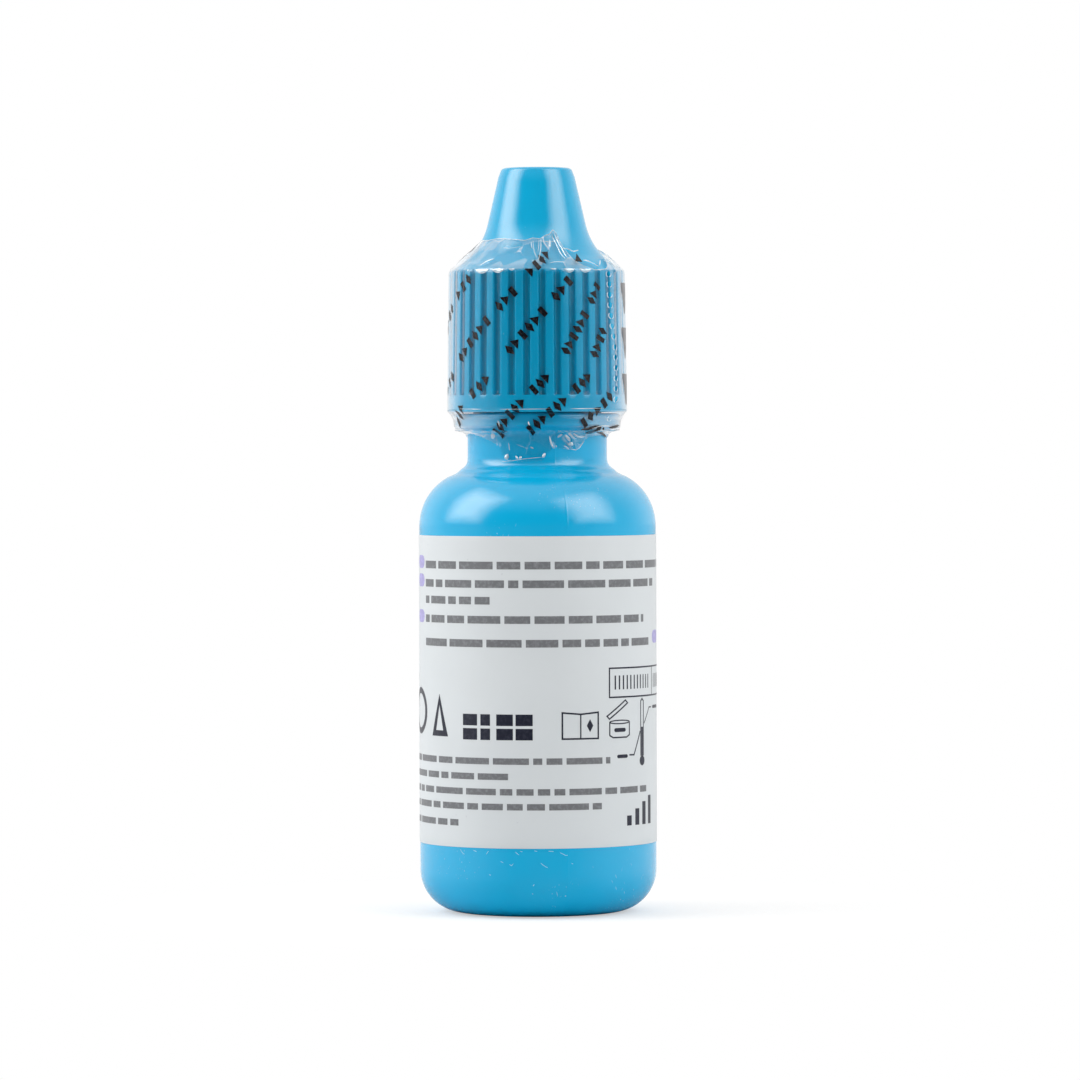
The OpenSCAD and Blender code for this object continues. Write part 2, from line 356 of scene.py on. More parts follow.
def ink_or_glint_material(name, colour, rough):
    """Printing ink, also used for pale scuffs and for painted glints: dense, with slightly starved patches.
    """
    t = material_tree(name)
    starved = t.noise(3200).ramp((0.45, 0), (0.85, 1))
    base = starved.mix(colour, [c * 1.5 + 0.02 for c in colour])
    return t.finish(base, starved.ramp((0, rough), (1, rough + 0.1)), Normal=t.bump(starved, 0.1, 0.01 * MM))


def film_material():
    """Thin clear film. It mirrors more the more it turns away. Where it isn't stretched, over the cap's
    shoulder and under the bead, it is creased into milky facets with fine lines between: partly real haze,
    partly painted reflections and glints of the creases."""
    t = material_tree("seal_film")
    up = t.axis("Z")
    edge = (SHOULDER_Z - 0.1) * MM
    slack = up.between(edge, edge + 0.6 * MM).math("MAXIMUM", up.between(48.9 * MM, 48.1 * MM) * 0.4)
    # Painted glint: a faint pale band where the film bends over the skirt's upper edge
    painted_edge_glint = (up + -edge).math("ABSOLUTE").between(0.4 * MM, 0.15 * MM)
    crinkle = t.noise(600, 3, distort=0.4, space=t.space((1, 1, 1.8)))
    normal = t.bump(crinkle + t.noise(2600) * 0.25, 0.12, 0.03 * MM)
    cells = {"Vector": t.space((0.0021, 0.0021, 0.0036), (18, -12, 25)), "Scale": 1}
    shade = t.node("ShaderNodeSeparateColor", {0: t.node("ShaderNodeTexVoronoi", cells, "Color")})
    facet = shade.ramp((0.4, 0.1), (0.5, 0.4), (0.72, 0.6), (0.82, 1))
    # Painted glints: pale lines along the facets' edges
    line = t.node("ShaderNodeTexVoronoi", cells, "Distance", feature="DISTANCE_TO_EDGE")
    line = line.ramp((0.008, 1), (0.03, 0)) * t.noise(420).ramp((0.48, 0), (0.6, 1))
    over_bead = up.between(50.6 * MM, 50.4 * MM) * up.between(48.7 * MM, 49.1 * MM)
    facing = t.node("ShaderNodeLayerWeight", {"Blend": 0.5, "Normal": normal}, "Facing")
    # On the bead the film turns paler where it turns away: partly a stronger mirror, partly painted sheen
    side = up.between(50.2 * MM, 49.9 * MM) * over_bead * facing.ramp((0.1, 0), (0.3, 0.17))
    # Milky haze, partly real and partly painted reflections and glints of the creases
    milky_and_painted_glints = (facet * 0.26 + line * 0.4 + 0.03) * slack + painted_edge_glint * 0.03 + side
    mirror = facing.ramp((0.38, 0), (0.5, 0.06), (0.6, 0.2), (0.7, 0.4), (0.82, 0.6), (1, 0.78))
    clear = (over_bead * 0.2).math("MAXIMUM", slack)
    haze = t.noise(240, 3).ramp((0.35, 0.12), (0.7, 0.16)) * (1 - clear * 0.7)
    # Seen square on, the film takes away light and mirrors little
    tone = facing.ramp((0.2, 0.3), (0.5, 1)) + milky_and_painted_glints * 5.0
    colour = tone.math("MINIMUM", 1.0).mix((0, 0, 0), (0.92, 0.95, 0.97))
    return t.finish(colour, crinkle.ramp((0.3, 0.07), (0.75, 0.15)), Metallic=0.98 - milky_and_painted_glints * 1.6,
                    Alpha=mirror + haze + milky_and_painted_glints, Normal=normal)


def crease_material():
    """Doubled film, as in creases and puckers. Its pale, half-opaque colour is partly doubled film and partly
    painted glint.
    """
    t = material_tree("seal_film_crease_glints")
    patches = t.noise(900)
    return t.finish((0.84, 0.95, 0.98), patches.ramp((0.3, 0.1), (0.7, 0.22)), Metallic=0.45,
                    Alpha=patches.ramp((0.35, 0.55), (0.6, 0.85)))


def natural_plastic(name, colour, rough):
    """Unpigmented soft plastic: milky, a little light passes into it."""
    t = material_tree(name)
    base = t.noise(180, 3).ramp((0.3, 0), (0.7, 1)).mix(colour, [min(1.0, c * 1.05) for c in colour])
    grain = t.noise(2200)
    return t.finish(base, grain.ramp((0.3, rough), (0.7, rough + 0.08)),
                    Normal=t.bump(grain, 0.08, 0.02 * MM), Subsurface_Weight=0.25, Subsurface_Scale=0.001)


def drops_material():
    """Clear watery drops."""
    t = material_tree("liquid")
    ripple = t.noise(120)
    return t.finish(ripple.mix((0.9, 0.96, 0.98), (0.95, 0.98, 0.99)), 0.03,
                    Normal=t.bump(ripple, 0.02, 0.1 * MM), IOR=1.336, Transmission_Weight=0.9)


BOTTLE_BLUE = moulded_plastic("bottle_plastic", (0.0, 0.395, 0.695), (0.0, 0.415, 0.72),
                              0.16, 1300, 0.18, 0.6)
CAP_BLUE = moulded_plastic("cap_plastic", (0.0, 0.38, 0.655), (0.0, 0.395, 0.675),
                           0.15, 1500, 0.05, 0.12, groove_shade=True)
LABEL_WHITE = label_material()
LABEL_INK = ink_or_glint_material("label_ink", (0.012, 0.014, 0.03), 0.35)
GREY_INK = ink_or_glint_material("label_ink_grey", (0.15, 0.155, 0.165), 0.4)
# Painted glints: pale arcs on the perforations' rims stand in for their highlights
HOLE_RIM_GLINT = ink_or_glint_material("seal_film_rim_glint", (0.66, 0.78, 0.82), 0.3)
SCUFF_PALE = ink_or_glint_material("bottle_scuff", (0.36, 0.6, 0.72), 0.4)
LILAC_INK = ink_or_glint_material("label_ink_lilac", (0.33, 0.3, 0.56), 0.4)
FILM_INK = ink_or_glint_material("film_ink", (0.004, 0.005, 0.008), 0.25)
FILM_GREY_INK = ink_or_glint_material("film_ink_grey", (0.12, 0.12, 0.125), 0.3)
FILM = film_material()
CREASE_FILM_AND_GLINTS = crease_material()
TIP_WHITE = natural_plastic("tip_plastic", (0.8, 0.82, 0.82), 0.36)
DISC_WHITE = natural_plastic("disc_elastomer", (0.78, 0.8, 0.81), 0.5)
DROPS = drops_material()


# Bottle

def thread_height(az, z, foot_z, turns, root_half, crest_half):
    """0 off a right-hand thread and 1 on its crest. It starts at +X and fades out at both ends."""
    turn = ((az - 90) / 360) % 1.0
    height = np.zeros(np.broadcast(az, z).shape)
    for lap in range(int(turns) + 1):
        t = turn + lap
        full = np.clip(np.minimum(0.12 + 6 * t, 0.12 + 6 * (turns - t)), 0, 1) * (t <= turns)
        off = np.abs(z - (foot_z + LEAD * t))
        height = np.maximum(height, full * smooth((root_half - off) / (root_half - crest_half)))
    return height


def bottle_profile():
    """Outside from the base up to the lip, then the inside down to the floor, and the number of
    rows up to the neck, which carry the parting line."""
    foot = [[0, PUSH_UP], [1.6, PUSH_UP], [3.4, PUSH_UP], [4.7, PUSH_UP], [PUSH_UP_R, PUSH_UP - 0.05],
            [5.55, 0.68], [6.15, 0.24], [6.45, 0.06], [6.7, 0], [7.2, 0], [FOOT_R, 0]]
    wall = wall_points(BODY_R, np.linspace(CORNER_R + 1.5, WALL_TOP - 1, 16))
    # The neck's foot has a faint ring and a shallow step before the dome
    fillet = spline([[8.6, 44.1], [8.22, 44.28], [7.96, 44.47], [7.74, 44.68], [7.42, 44.92],
                     [7.19, 45.2], [7.08, 45.55], [NECK_R, 46.0]], 5)
    neck = wall_points(NECK_R, np.linspace(46.3, BEAD_Z - 0.6, 6))
    body = np.vstack([foot, arc(FOOT_R, CORNER_R, CORNER_R, -86, 0, 22), wall,
                      arc(SHOULDER_X, WALL_TOP, SHOULDER_R, 0, SHOULDER_END, 30), fillet, neck])
    bead = np.vstack([
        [[NECK_R + 0.04, BEAD_Z - 0.5], [NECK_R + 0.45, BEAD_Z - 0.3]],
        arc(BEAD_R - 0.3, BEAD_Z + 0.3, 0.3, -75, 0, 5),
        arc(BEAD_R - 0.3, BEAD_TOP - 0.3, 0.3, 0, 90, 6),
        [[FINISH_R + 0.15, BEAD_TOP], [FINISH_R + 0.03, BEAD_TOP + 0.04]]])
    finish = wall_points(FINISH_R, np.arange(BEAD_TOP + 0.16, LIP_Z - 0.4, 0.15))
    lip = arc(FINISH_R - 0.3, LIP_Z - 0.3, 0.3, 0, 90, 6)
    inner_r = SHOULDER_R - WALL
    bore = np.vstack([
        arc(BORE_R + 0.15, LIP_Z - 0.15, 0.15, 90, 180, 3),
        wall_points(BORE_R, np.linspace(LIP_Z - 1, WALL_TOP + inner_r + 1, 8)),
        arc(BORE_R + 0.4, WALL_TOP + inner_r + 0.4, 0.4, 180, 270, 4)])
    hollow = np.vstack([
        arc(SHOULDER_X, WALL_TOP, inner_r, 90, 0, 16),
        wall_points(BODY_R - WALL, np.linspace(WALL_TOP - 2, CORNER_R + 2, 8)),
        arc(FOOT_R, CORNER_R, CORNER_R - WALL, 0, -75, 12),
        [[PUSH_UP_R, PUSH_UP + WALL], [2.5, PUSH_UP + WALL], [0, PUSH_UP + WALL]]])
    profile = np.vstack([body, bead, finish, lip, bore, hollow])
    return profile, len(body), len(body) + len(bead), len(finish)


def make_bottle():
    profile, seam_rows, finish_row, finish_rows = bottle_profile()
    seams = (SEAM_AZ, SEAM_AZ + 180)
    fine = [0, 0.22, 0.44, 0.68, 1.0, 1.5, 2.2]
    near_seam = [s + side * f for s in seams for f in fine for side in (-1, 1)]
    plain = [a for a in np.arange(0, 360, 1.8)
             if min(abs((a - s + 180) % 360 - 180) for s in seams) > 2.4]
    az = np.array(sorted(set(round(a % 360, 4) for a in plain + near_seam)))
    r, z = (np.repeat(profile[:, k:k + 1], len(az), axis=1) for k in (0, 1))
    # Parting line: a low ridge along both halves' joint, square to the surface
    run = np.gradient(profile, axis=0)
    normal = np.column_stack([run[:, 1], -run[:, 0]])
    normal /= np.maximum(np.linalg.norm(normal, axis=1, keepdims=True), 1e-6)
    off = ((az - SEAM_AZ + 90) % 180 - 90) * DEG * r
    ridge = 0.011 * np.exp(-(off / 0.085) ** 2)
    ridge[seam_rows:] = 0
    ridge[profile[:, 0] < 1.0] = 0
    r = r + ridge * normal[:, :1]
    z = np.maximum(z + ridge * normal[:, 1:], 0)
    rows = slice(finish_row, finish_row + finish_rows)
    thread = thread_height(az, z[rows], NECK_THREAD_Z, 1.5, 0.72, 0.36)
    r[rows] += (NECK_THREAD_R - FINISH_R) * thread
    verts, faces = shell(place(r, az, z), True)
    add_mesh("bottle_shell", verts, faces, BOTTLE_BLUE, "bottle_body", ["bottle"])


# Label

def make_label():
    """One paper skin with rounded edges, its inside just clear of the wall."""
    half = 180 - LABEL_GAP_AZ / 2
    inside, top = BODY_R + 0.012, LABEL_Z + LABEL_H
    profile = [[inside, LABEL_Z], [LABEL_R - 0.012, LABEL_Z], [LABEL_R, LABEL_Z + 0.03]]
    profile += wall_points(LABEL_R, np.linspace(LABEL_Z + 1, top - 1, 12))
    profile += [[LABEL_R, top - 0.1], [LABEL_R - 0.01, top - 0.06], [LABEL_R - 0.03, top], [inside, top]]
    points = lathe_points(profile, np.linspace(-half, half, 261))
    rows, cols = points.shape[:2]
    last = (rows - 1) * cols
    faces = grid_faces(rows, cols, False)
    faces += [(last + j, last + j + 1, j + 1, j) for j in range(cols - 1)]
    faces += [[i * cols for i in reversed(range(rows))], [i * cols + cols - 1 for i in range(rows)]]
    add_mesh("label_wrap", points.reshape(-1, 3), faces, LABEL_WHITE, "bottle_body", ["label"])


def circle(s, z, r, n):
    turns = np.linspace(0, 2 * math.pi, n, endpoint=False)
    return [(s + r * math.cos(a), z + r * math.sin(a)) for a in turns]


class Print:
    """Flat shapes in (s, z), later laid on a curved surface."""

    def __init__(self):
        self.verts, self.faces = [], []

    def polygon(self, points):
        start = len(self.verts)
        self.verts += [tuple(p) for p in points]
        self.faces.append(list(range(start, start + len(points))))

    def bar(self, s0, s1, z, h, round_ends=False):
        """A level bar from s0 to s1."""
        cap = h / 2 if round_ends else 0
        s0, s1 = s0 + cap, s1 - cap
        self.polygon([(s0, z - h / 2), (s1, z - h / 2), (s1, z + h / 2), (s0, z + h / 2)])
        if round_ends:
            for s, turn in ((s0, 90), (s1, -90)):
                t = (turn + np.linspace(0, 180, 7)) * DEG
                self.polygon([(s + cap * math.cos(a), z + cap * math.sin(a)) for a in t])

    def outline(self, points, width, closed=True, step=0.5):
        """A stroked line of a width, mitred at its corners."""
        p = np.asarray(points, float)
        ahead = np.roll(p, -1, axis=0) - p
        if not closed:
            ahead[-1] = ahead[-2]
        side = np.column_stack([-ahead[:, 1], ahead[:, 0]]) / np.linalg.norm(ahead, axis=1, keepdims=True)
        before = np.roll(side, 1, axis=0)
        if not closed:
            before[0] = side[0]
        spread = np.maximum(0.3, 1 + (side * before).sum(axis=1, keepdims=True))
        offsets = (side + before) / spread * width / 2
        for i in range(len(p) if closed else len(p) - 1):
            k = (i + 1) % len(p)
            cuts = max(1, math.ceil(np.linalg.norm(p[k] - p[i]) / step))
            t = np.linspace(0, 1, cuts + 1)[:, None]
            line, off = p[i] + (p[k] - p[i]) * t, offsets[i] * (1 - t) + offsets[k] * t
            for a, b, off_a, off_b in zip(line, line[1:], off, off[1:]):
                self.polygon([a - off_a, b - off_b, b + off_b, a + off_a])

    def solid(self, points, cuts):
        """A filled shape as rings of quads round its middle, so that it can bend."""
        p = np.asarray(points, float)
        middle = p.mean(axis=0)
        edge = [a + (b - a) * t / cuts for a, b in zip(p, np.roll(p, -1, axis=0)) for t in range(cuts)]
        for k in range(cuts):
            f0, f1 = k / cuts, (k + 1) / cuts
            for a, b in zip(edge, edge[1:] + edge[:1]):
                quad = [middle + (a - middle) * f0, middle + (a - middle) * f1,
                        middle + (b - middle) * f1, middle + (b - middle) * f0]
                self.polygon(quad if k else quad[1:])


def cut_mesh(verts, faces, keep):
    """A flat mesh, cut along lines. Each line is (axis, value, side that stays, or 0 for both)."""
    mesh = bmesh.new()
    made = [mesh.verts.new((u, z, 0)) for u, z in verts]
    for f in faces:
        mesh.faces.new([made[i] for i in f])
    for axis, value, side in keep:
        normal, point = [0, 0, 0], [0, 0, 0]
        normal[axis] = -side or 1
        point[axis] = value
        bmesh.ops.bisect_plane(mesh, geom=mesh.verts[:] + mesh.edges[:] + mesh.faces[:],
                               plane_co=point, plane_no=normal, clear_outer=side != 0)
    mesh.verts.index_update()
    flat = [(v.co.x, v.co.y) for v in mesh.verts]
    cut_faces = [[v.index for v in f.verts] for f in mesh.faces]
    mesh.free()
    return flat, cut_faces


def small_print(grey, rng, s0, s1, z, h):
    """A line of grey bars, as long as words."""
    s = s0
    while s < s1 - 0.4:
        word = min(rng.uniform(0.9, 4.2), s1 - s)
        grey.bar(s, s + word, z, h)
        s += word + 0.42


def front_print(ink, grey, lilac, rng):
    """What the photographed side shows, with angles turned into lengths along the label."""
    per = LABEL_PER

    def stroke(points, width, closed=False):
        ink.outline([(a * per, z) for a, z in points], width, closed)

    for z, end in ((35.2, 85.0), (33.35, 73.7), (31.7, -20.4), (29.8, 61.7), (27.45, 69.5)):
        small_print(grey, rng, -69.2 * per, end * per, z, 0.76)
    for z, end in ((15.75, 36.8), (14.22, -14.4), (12.7, 64.4), (11.22, 31.8), (9.55, -41.5)):
        small_print(grey, rng, -88 * per, end * per, z, 0.64)
    for a, z in ((-77.2, 35.45), (-77.2, 33.6), (-77.2, 30.0), (78.8, 27.85)):
        lilac.bar((a - 6.1) * per, (a + 6.1) * per, z, 1.3, True)
    # Boxed bars
    stroke([(36.4, 22.0), (96, 22.0), (96, 24.9), (36.4, 24.9)], 0.16, True)
    stroke([(71.9, 22.0), (71.9, 24.9)], 0.14)
    for a0, a1 in ((39.5, 68.7), (74.5, 93.0)):
        for s in np.arange(a0 * per, a1 * per, 0.56):
            ink.bar(s, s + 0.19, 23.46, 1.4)
    # Bold shapes
    ink.outline(circle(-79 * per, 20.45, 2.05, 28), 0.62)
    stroke([(-59.9, 18.36), (-50.3, 18.36), (-55.1, 21.75)], 0.58, True)
    for a, width in ((-38.5, 8.2), (-28.5, 5.1), (-20.2, 8.2), (-10.7, 8.2)):
        for z in (18.43, 19.85):
            ink.bar(a * per, (a + width) * per, z, 1.14)
    # Thin outlines: a leaf, a pot with its lid off, and a tube
    stroke([(11.6, 17.97), (29.9, 17.97), (29.9, 20.57), (20.7, 20.4), (11.6, 20.57)], 0.17, True)
    stroke([(20.7, 18.0), (20.7, 20.4)], 0.14)
    ink.solid([(a * per, z) for a, z in ((23.8, 19.25), (25.5, 18.6), (27.2, 19.25), (25.5, 19.9))], 2)
    stroke([(34.9, 20.13), (46.6, 21.68), (48.1, 21.39), (36.3, 19.84)], 0.15, True)
    stroke([(36.5, 19.5), (36.5, 18.2), (38.6, 17.98), (47.4, 17.98), (49.4, 18.2), (49.4, 19.5)], 0.15)
    rim = np.linspace(0, 2 * math.pi, 24, endpoint=False)
    stroke([(42.95 + 6.45 * math.cos(t), 19.52 + 0.17 * math.sin(t)) for t in rim], 0.12, True)
    ink.bar(39.2 * per, 46.8 * per, 18.72, 0.4, True)
    stroke([(58.9, 16.0), (58.9, 21.5), (60.2, 21.72), (61.5, 21.5), (61.5, 16.0)], 0.16)
    stroke([(60.2, 15.6), (60.2, 18.9)], 0.34)
    ink.polygon(circle(60.2 * per, 15.52, 0.5, 20))
    stroke([(49.4, 16.18), (53.0, 16.16), (58.4, 18.5)], 0.16)
    stroke([(62.2, 19.23), (68.1, 20.81), (70.9, 20.8)], 0.13)
    ink.bar(41.0 * per, 48.2 * per, 16.08, 0.36, True)
    ink.bar(73.0 * per, 84.0 * per, 20.8, 0.32, True)
    for k, h in enumerate((1.0, 1.65, 2.3, 2.86)):
        s = 47.6 * per + k * 1.32
        ink.bar(s, s + 0.72, 9.12 + h / 2, h)


def make_label_print():
    ink, grey, lilac = Print(), Print(), Print()
    rng = random.Random(11)
    front_print(ink, grey, lilac, rng)
    # Plain panels on the far sides
    per = LABEL_PER
    for i, z in enumerate(np.arange(34.9, 24.5, -1.75)):
        small_print(grey, rng, 104 * per, (166 - 8 * (i % 3)) * per, z, 0.76)
    for i, z in enumerate(np.arange(15.4, 9.0, -1.45)):
        small_print(grey, rng, 108 * per, (162 - 9 * (i % 2)) * per, z, 0.64)
    left, right = -166 * per, -106 * per
    lilac.bar(left, right, 30.2, 6.2)
    for z, h, short in ((24.6, 1.1, 2), (22.3, 0.64, 4), (20.6, 0.64, 1), (18.9, 0.64, 6)):
        small_print(grey, rng, left, right - short, z, h)
    ink.outline([(left, 10.0), (right, 10.0), (right, 15.2), (left, 15.2)], 0.17)
    bends = [(0, s, 0) for s in np.arange(-37.5, 37.6, 0.6)]
    for name, shapes, mat in (("label_print", ink, LABEL_INK), ("label_print_grey", grey, GREY_INK),
                              ("label_print_lilac", lilac, LILAC_INK)):
        verts, faces = cut_mesh(shapes.verts, shapes.faces, bends)
        s, z = np.transpose(verts)
        points = place(LABEL_R + 0.007, s / LABEL_PER, z)
        add_mesh(name, points, faces, mat, "bottle_body", sharp=None)


# Pale scuffs on the lower wall, as lines of (az, z)
SCUFFS = [
    ((-40.6, 6.86), (-39.5, 6.58), (-38, 6.38)), ((-32.7, 6.84), (-31, 6.72)),
    ((-25.6, 6.5), (-24.5, 6.82)), ((-10.9, 6.76), (-9.4, 6.5)), ((-8.6, 6.84), (-7.6, 6.8)),
    ((-1.9, 6.9), (-0.6, 6.84)), ((4.9, 6.86), (7.2, 6.82)), ((10.4, 6.7), (13.2, 6.4), (14.4, 6.44)),
    ((-18.2, 5.82), (-17, 5.68)), ((-13.8, 5.52), (-12.9, 5.4), (-12.1, 5.6)),
    ((1.2, 5.66), (2.9, 5.38), (4.4, 5.22)), ((-24, 4.5), (-23.3, 4.38)), ((-2.6, 3.4), (-2, 3.55)),
    ((-3.1, 2.62), (-2.7, 2.58)), ((16.1, 5.6), (16.7, 5.55)),
]


def make_scuffs():
    scuffs = Print()
    for line in SCUFFS:
        scuffs.outline([(a * BODY_R * DEG, z) for a, z in line], 0.045, closed=False, step=0.2)
    s, z = np.transpose(scuffs.verts)
    r = FOOT_R + np.sqrt(CORNER_R ** 2 - np.maximum(CORNER_R - z, 0) ** 2) + 0.006
    add_mesh("bottle_scuffs", place(r, s / BODY_R / DEG, z), scuffs.faces, SCUFF_PALE,
             "bottle_body", sharp=None)


# Cap

def rib_r(z):
    return SKIRT_R - (z - CAP_Z) * (SKIRT_R - SKIRT_TOP_R) / SKIRT_H


def cone_r(z):
    z = np.asarray(z, float)
    flare = FLARE_X - np.sqrt(np.maximum(FLARE_R ** 2 - (FLARE_MID_Z - z) ** 2, 0))
    cone = CONE_TOP_R + (CAP_TOP - z) * math.tan(CONE_SLOPE * DEG)
    slope = FLARE_FOOT_R + (FLARE_Z - z) * (SKIRT_TOP_R - 0.28 - FLARE_FOOT_R) / SHOULDER_RISE
    return np.where(z > FLARE_TOP_Z, cone, np.where(z < FLARE_Z, slope, flare))


def make_cap():
    # Columns across one pitch, by distance from the groove's middle, and the groove's depth there
    across = [(0, 0.45), (0.1, 0.434), (0.19, 0.39), (0.26, 0.323), (0.305, 0.245), (0.33, 0.13),
              (0.36, 0.055), (0.4, 0.02), (0.47, 0.004), (0.57, 0), (0.67, 0)]
    half_pitch = 0.5 * PITCH * DEG * RIB_MEAN_R
    one = across + [(half_pitch, 0)]
    one += [(2 * half_pitch - x, d) for x, d in reversed(across[1:])]
    az = np.array([GROOVE_AZ + k * PITCH + x / RIB_MEAN_R / DEG for k in range(RIBS) for x, _ in one])
    depth = np.array([d for _ in range(RIBS) for _, d in one])
    rows = []

    def row(r, z, cut):
        rows.append(place(r - cut * depth, az, z))

    for r, z in arc(SKIRT_R - 0.2, RIM_Z + 0.2, 0.2, -90, 0, 5):
        row(r, z, 0)
    for z in (CAP_Z + 0.5, CAP_Z + 1.1, BAND_TOP - 0.12):
        row(rib_r(z), z, 0)
    for dz, cut in ((-0.05, 0.03), (-0.015, 0.14), (0.0, 0.5), (0.012, 0.92), (0.05, 1.0)):
        row(rib_r(BAND_TOP + dz), BAND_TOP + dz, cut)
    for z in np.linspace(BAND_TOP + 0.4, SHOULDER_Z - 0.5, 18):
        row(rib_r(z), z, 1)
    # Over the ribs' rounded tops and up the sloping shoulder, with the grooves run straight out
    top_edge = arc(SKIRT_TOP_R - 0.28, SHOULDER_Z - 0.28, 0.28, 0, 52, 6)
    slope_z = SHOULDER_Z + SHOULDER_RISE * np.array([0.05, 0.1, 0.16, 0.25, 0.45, 0.7, 0.9])
    for r, z in np.vstack([top_edge, np.column_stack([cone_r(slope_z), slope_z])]):
        rows.append(place(np.minimum(r, SKIRT_TOP_R - depth), az, z))
    flare = arc(FLARE_X, FLARE_MID_Z, FLARE_R, 225, 180 + CONE_SLOPE, 16)
    cone_z = np.linspace(FLARE_TOP_Z + 0.6, CAP_TOP - 0.9, 8)
    cone = np.column_stack([cone_r(cone_z), cone_z])
    top = arc(CONE_TOP_R - 0.45, CAP_TOP - 0.45, 0.45, CONE_SLOPE, 90, 7)
    dish = [[2.2, CAP_TOP], [1.5, CAP_TOP], [1.25, CAP_TOP - 0.04], [1.05, CAP_TOP - 0.14],
            [0.6, CAP_TOP - 0.16], [0.38, CAP_TOP - 0.15], [0.3, CAP_TOP - 0.05], [0, CAP_TOP - 0.04]]
    for r, z in np.vstack([flare, cone, top, dish]):
        row(r, z, 0)
    verts, faces = shell(np.array(rows))
    # Inside, with half of the columns
    inner_az = az[::2]
    zs = np.arange(CAP_Z + 0.65, ROOF_Z - 0.35, 0.15)
    inside = np.vstack([
        [[CAP_BORE_R + 0.35, RIM_Z], [CAP_BORE_R + 0.05, CAP_Z + 0.42]],
        wall_points(CAP_BORE_R, zs),
        arc(CAP_BORE_R - 0.3, ROOF_Z - 0.3, 0.3, 0, 90, 4),
        [[5.95, ROOF_Z], [5.8, ROOF_Z + 0.25], [5.3, ROOF_Z + 2.6], [4.3, ROOF_Z + 4.6],
         [3.5, ROOF_Z + 6.6], [2.8, DISC_Z - 0.45], [2.3, DISC_Z - 0.2], [2.5, DISC_Z - 0.05],
         [2.5, CROWN_Z], [0, CROWN_Z]]])
    r, z = (np.repeat(inside[:, k:k + 1], len(inner_az), axis=1) for k in (0, 1))
    body = slice(2, 2 + len(zs))
    thread = thread_height(inner_az, z[body], CAP_THREAD_Z, 1.25, 0.62, 0.32)
    r[body] -= (CAP_BORE_R - CAP_THREAD_R) * thread
    in_verts, in_faces = shell(place(r, inner_az, z))
    start = len(verts)
    verts += in_verts
    faces += [tuple(start + i for i in f) for f in in_faces]
    # Flat rim between the two
    for i in range(len(inner_az)):
        outer = [k % len(az) for k in (2 * i + 2, 2 * i + 1, 2 * i)]
        faces.append([start + i, start + (i + 1) % len(inner_az)] + outer)
    add_mesh("cap_shell", verts, faces, CAP_BLUE, "cap_body", ["cap"])


# Dropper tip and seal disc

def make_tip():
    plug = BORE_R - 0.02
    outside = np.vstack([
        [[4.0, LIP_Z - 8], [plug - 0.4, LIP_Z - 8], [plug - 0.1, LIP_Z - 7.7], [plug, LIP_Z - 7.2]],
        [[plug, LIP_Z - 5.0], [BORE_R, LIP_Z - 4.7], [plug, LIP_Z - 4.4]],
        [[plug, LIP_Z - 2.3], [BORE_R, LIP_Z - 2.0], [plug, LIP_Z - 1.7], [plug, LIP_Z + 0.01]],
        [[6.0, LIP_Z + 0.01]], arc(5.95, LIP_Z + 0.55, 0.25, -60, 90, 8),
        arc(4.8, LIP_Z + 1.2, 0.4, 270, 195, 6), [[3.35, LIP_Z + 4.8], [2.6, TIP_TOP - 3.4],
                                                 [2.1, TIP_TOP - 2.2], [1.95, TIP_TOP - 1.4]],
        arc(1.25, TIP_TOP - 0.7, 0.7, 0, 90, 10)])
    inside = [[0.95, TIP_TOP], [0.9, TIP_TOP - 0.08], [0.32, TIP_TOP - 1.15], [0.3, TIP_TOP - 1.25],
              [0.3, TIP_TOP - 2.6], [0.9, TIP_TOP - 3.2], [1.4, LIP_Z + 4.4], [3.1, LIP_Z + 0.2],
              [4.0, LIP_Z - 1.6], [4.0, LIP_Z - 8]]
    points = lathe_points(np.vstack([outside, inside[:-1]]), np.arange(0, 360, 3.75))
    rows, cols = points.shape[:2]
    faces = grid_faces(rows, cols, True)
    last = (rows - 1) * cols
    faces += [(last + j, last + (j + 1) % cols, (j + 1) % cols, j) for j in range(cols)]
    add_mesh("tip_plug", points.reshape(-1, 3), faces, TIP_WHITE, "bottle_body",
             ["dropper_tip"])


def make_disc():
    pin_z, boss_z = TIP_TOP - 1.0, TIP_TOP + 0.06
    profile = [[0, pin_z], [0.2, pin_z], [0.27, pin_z + 0.06], [0.72, boss_z - 0.05], [0.78, boss_z],
               [1.45, boss_z], [1.55, boss_z + 0.08], [1.7, DISC_Z - 0.15], [2.1, DISC_Z], [2.35, DISC_Z],
               [2.44, DISC_Z + 0.08], [2.44, DISC_Z + 0.7], [2.35, DISC_Z + 0.79], [0, DISC_Z + 0.79]]
    verts, faces = shell(lathe_points(profile, np.arange(0, 360, 5)), True)
    add_mesh("seal_disc", verts, faces, DISC_WHITE, "disc_body", ["cap_seal_disc"])


# Shrink film. A point on it has a height and an angle u, which is az shifted along the wavy cut.

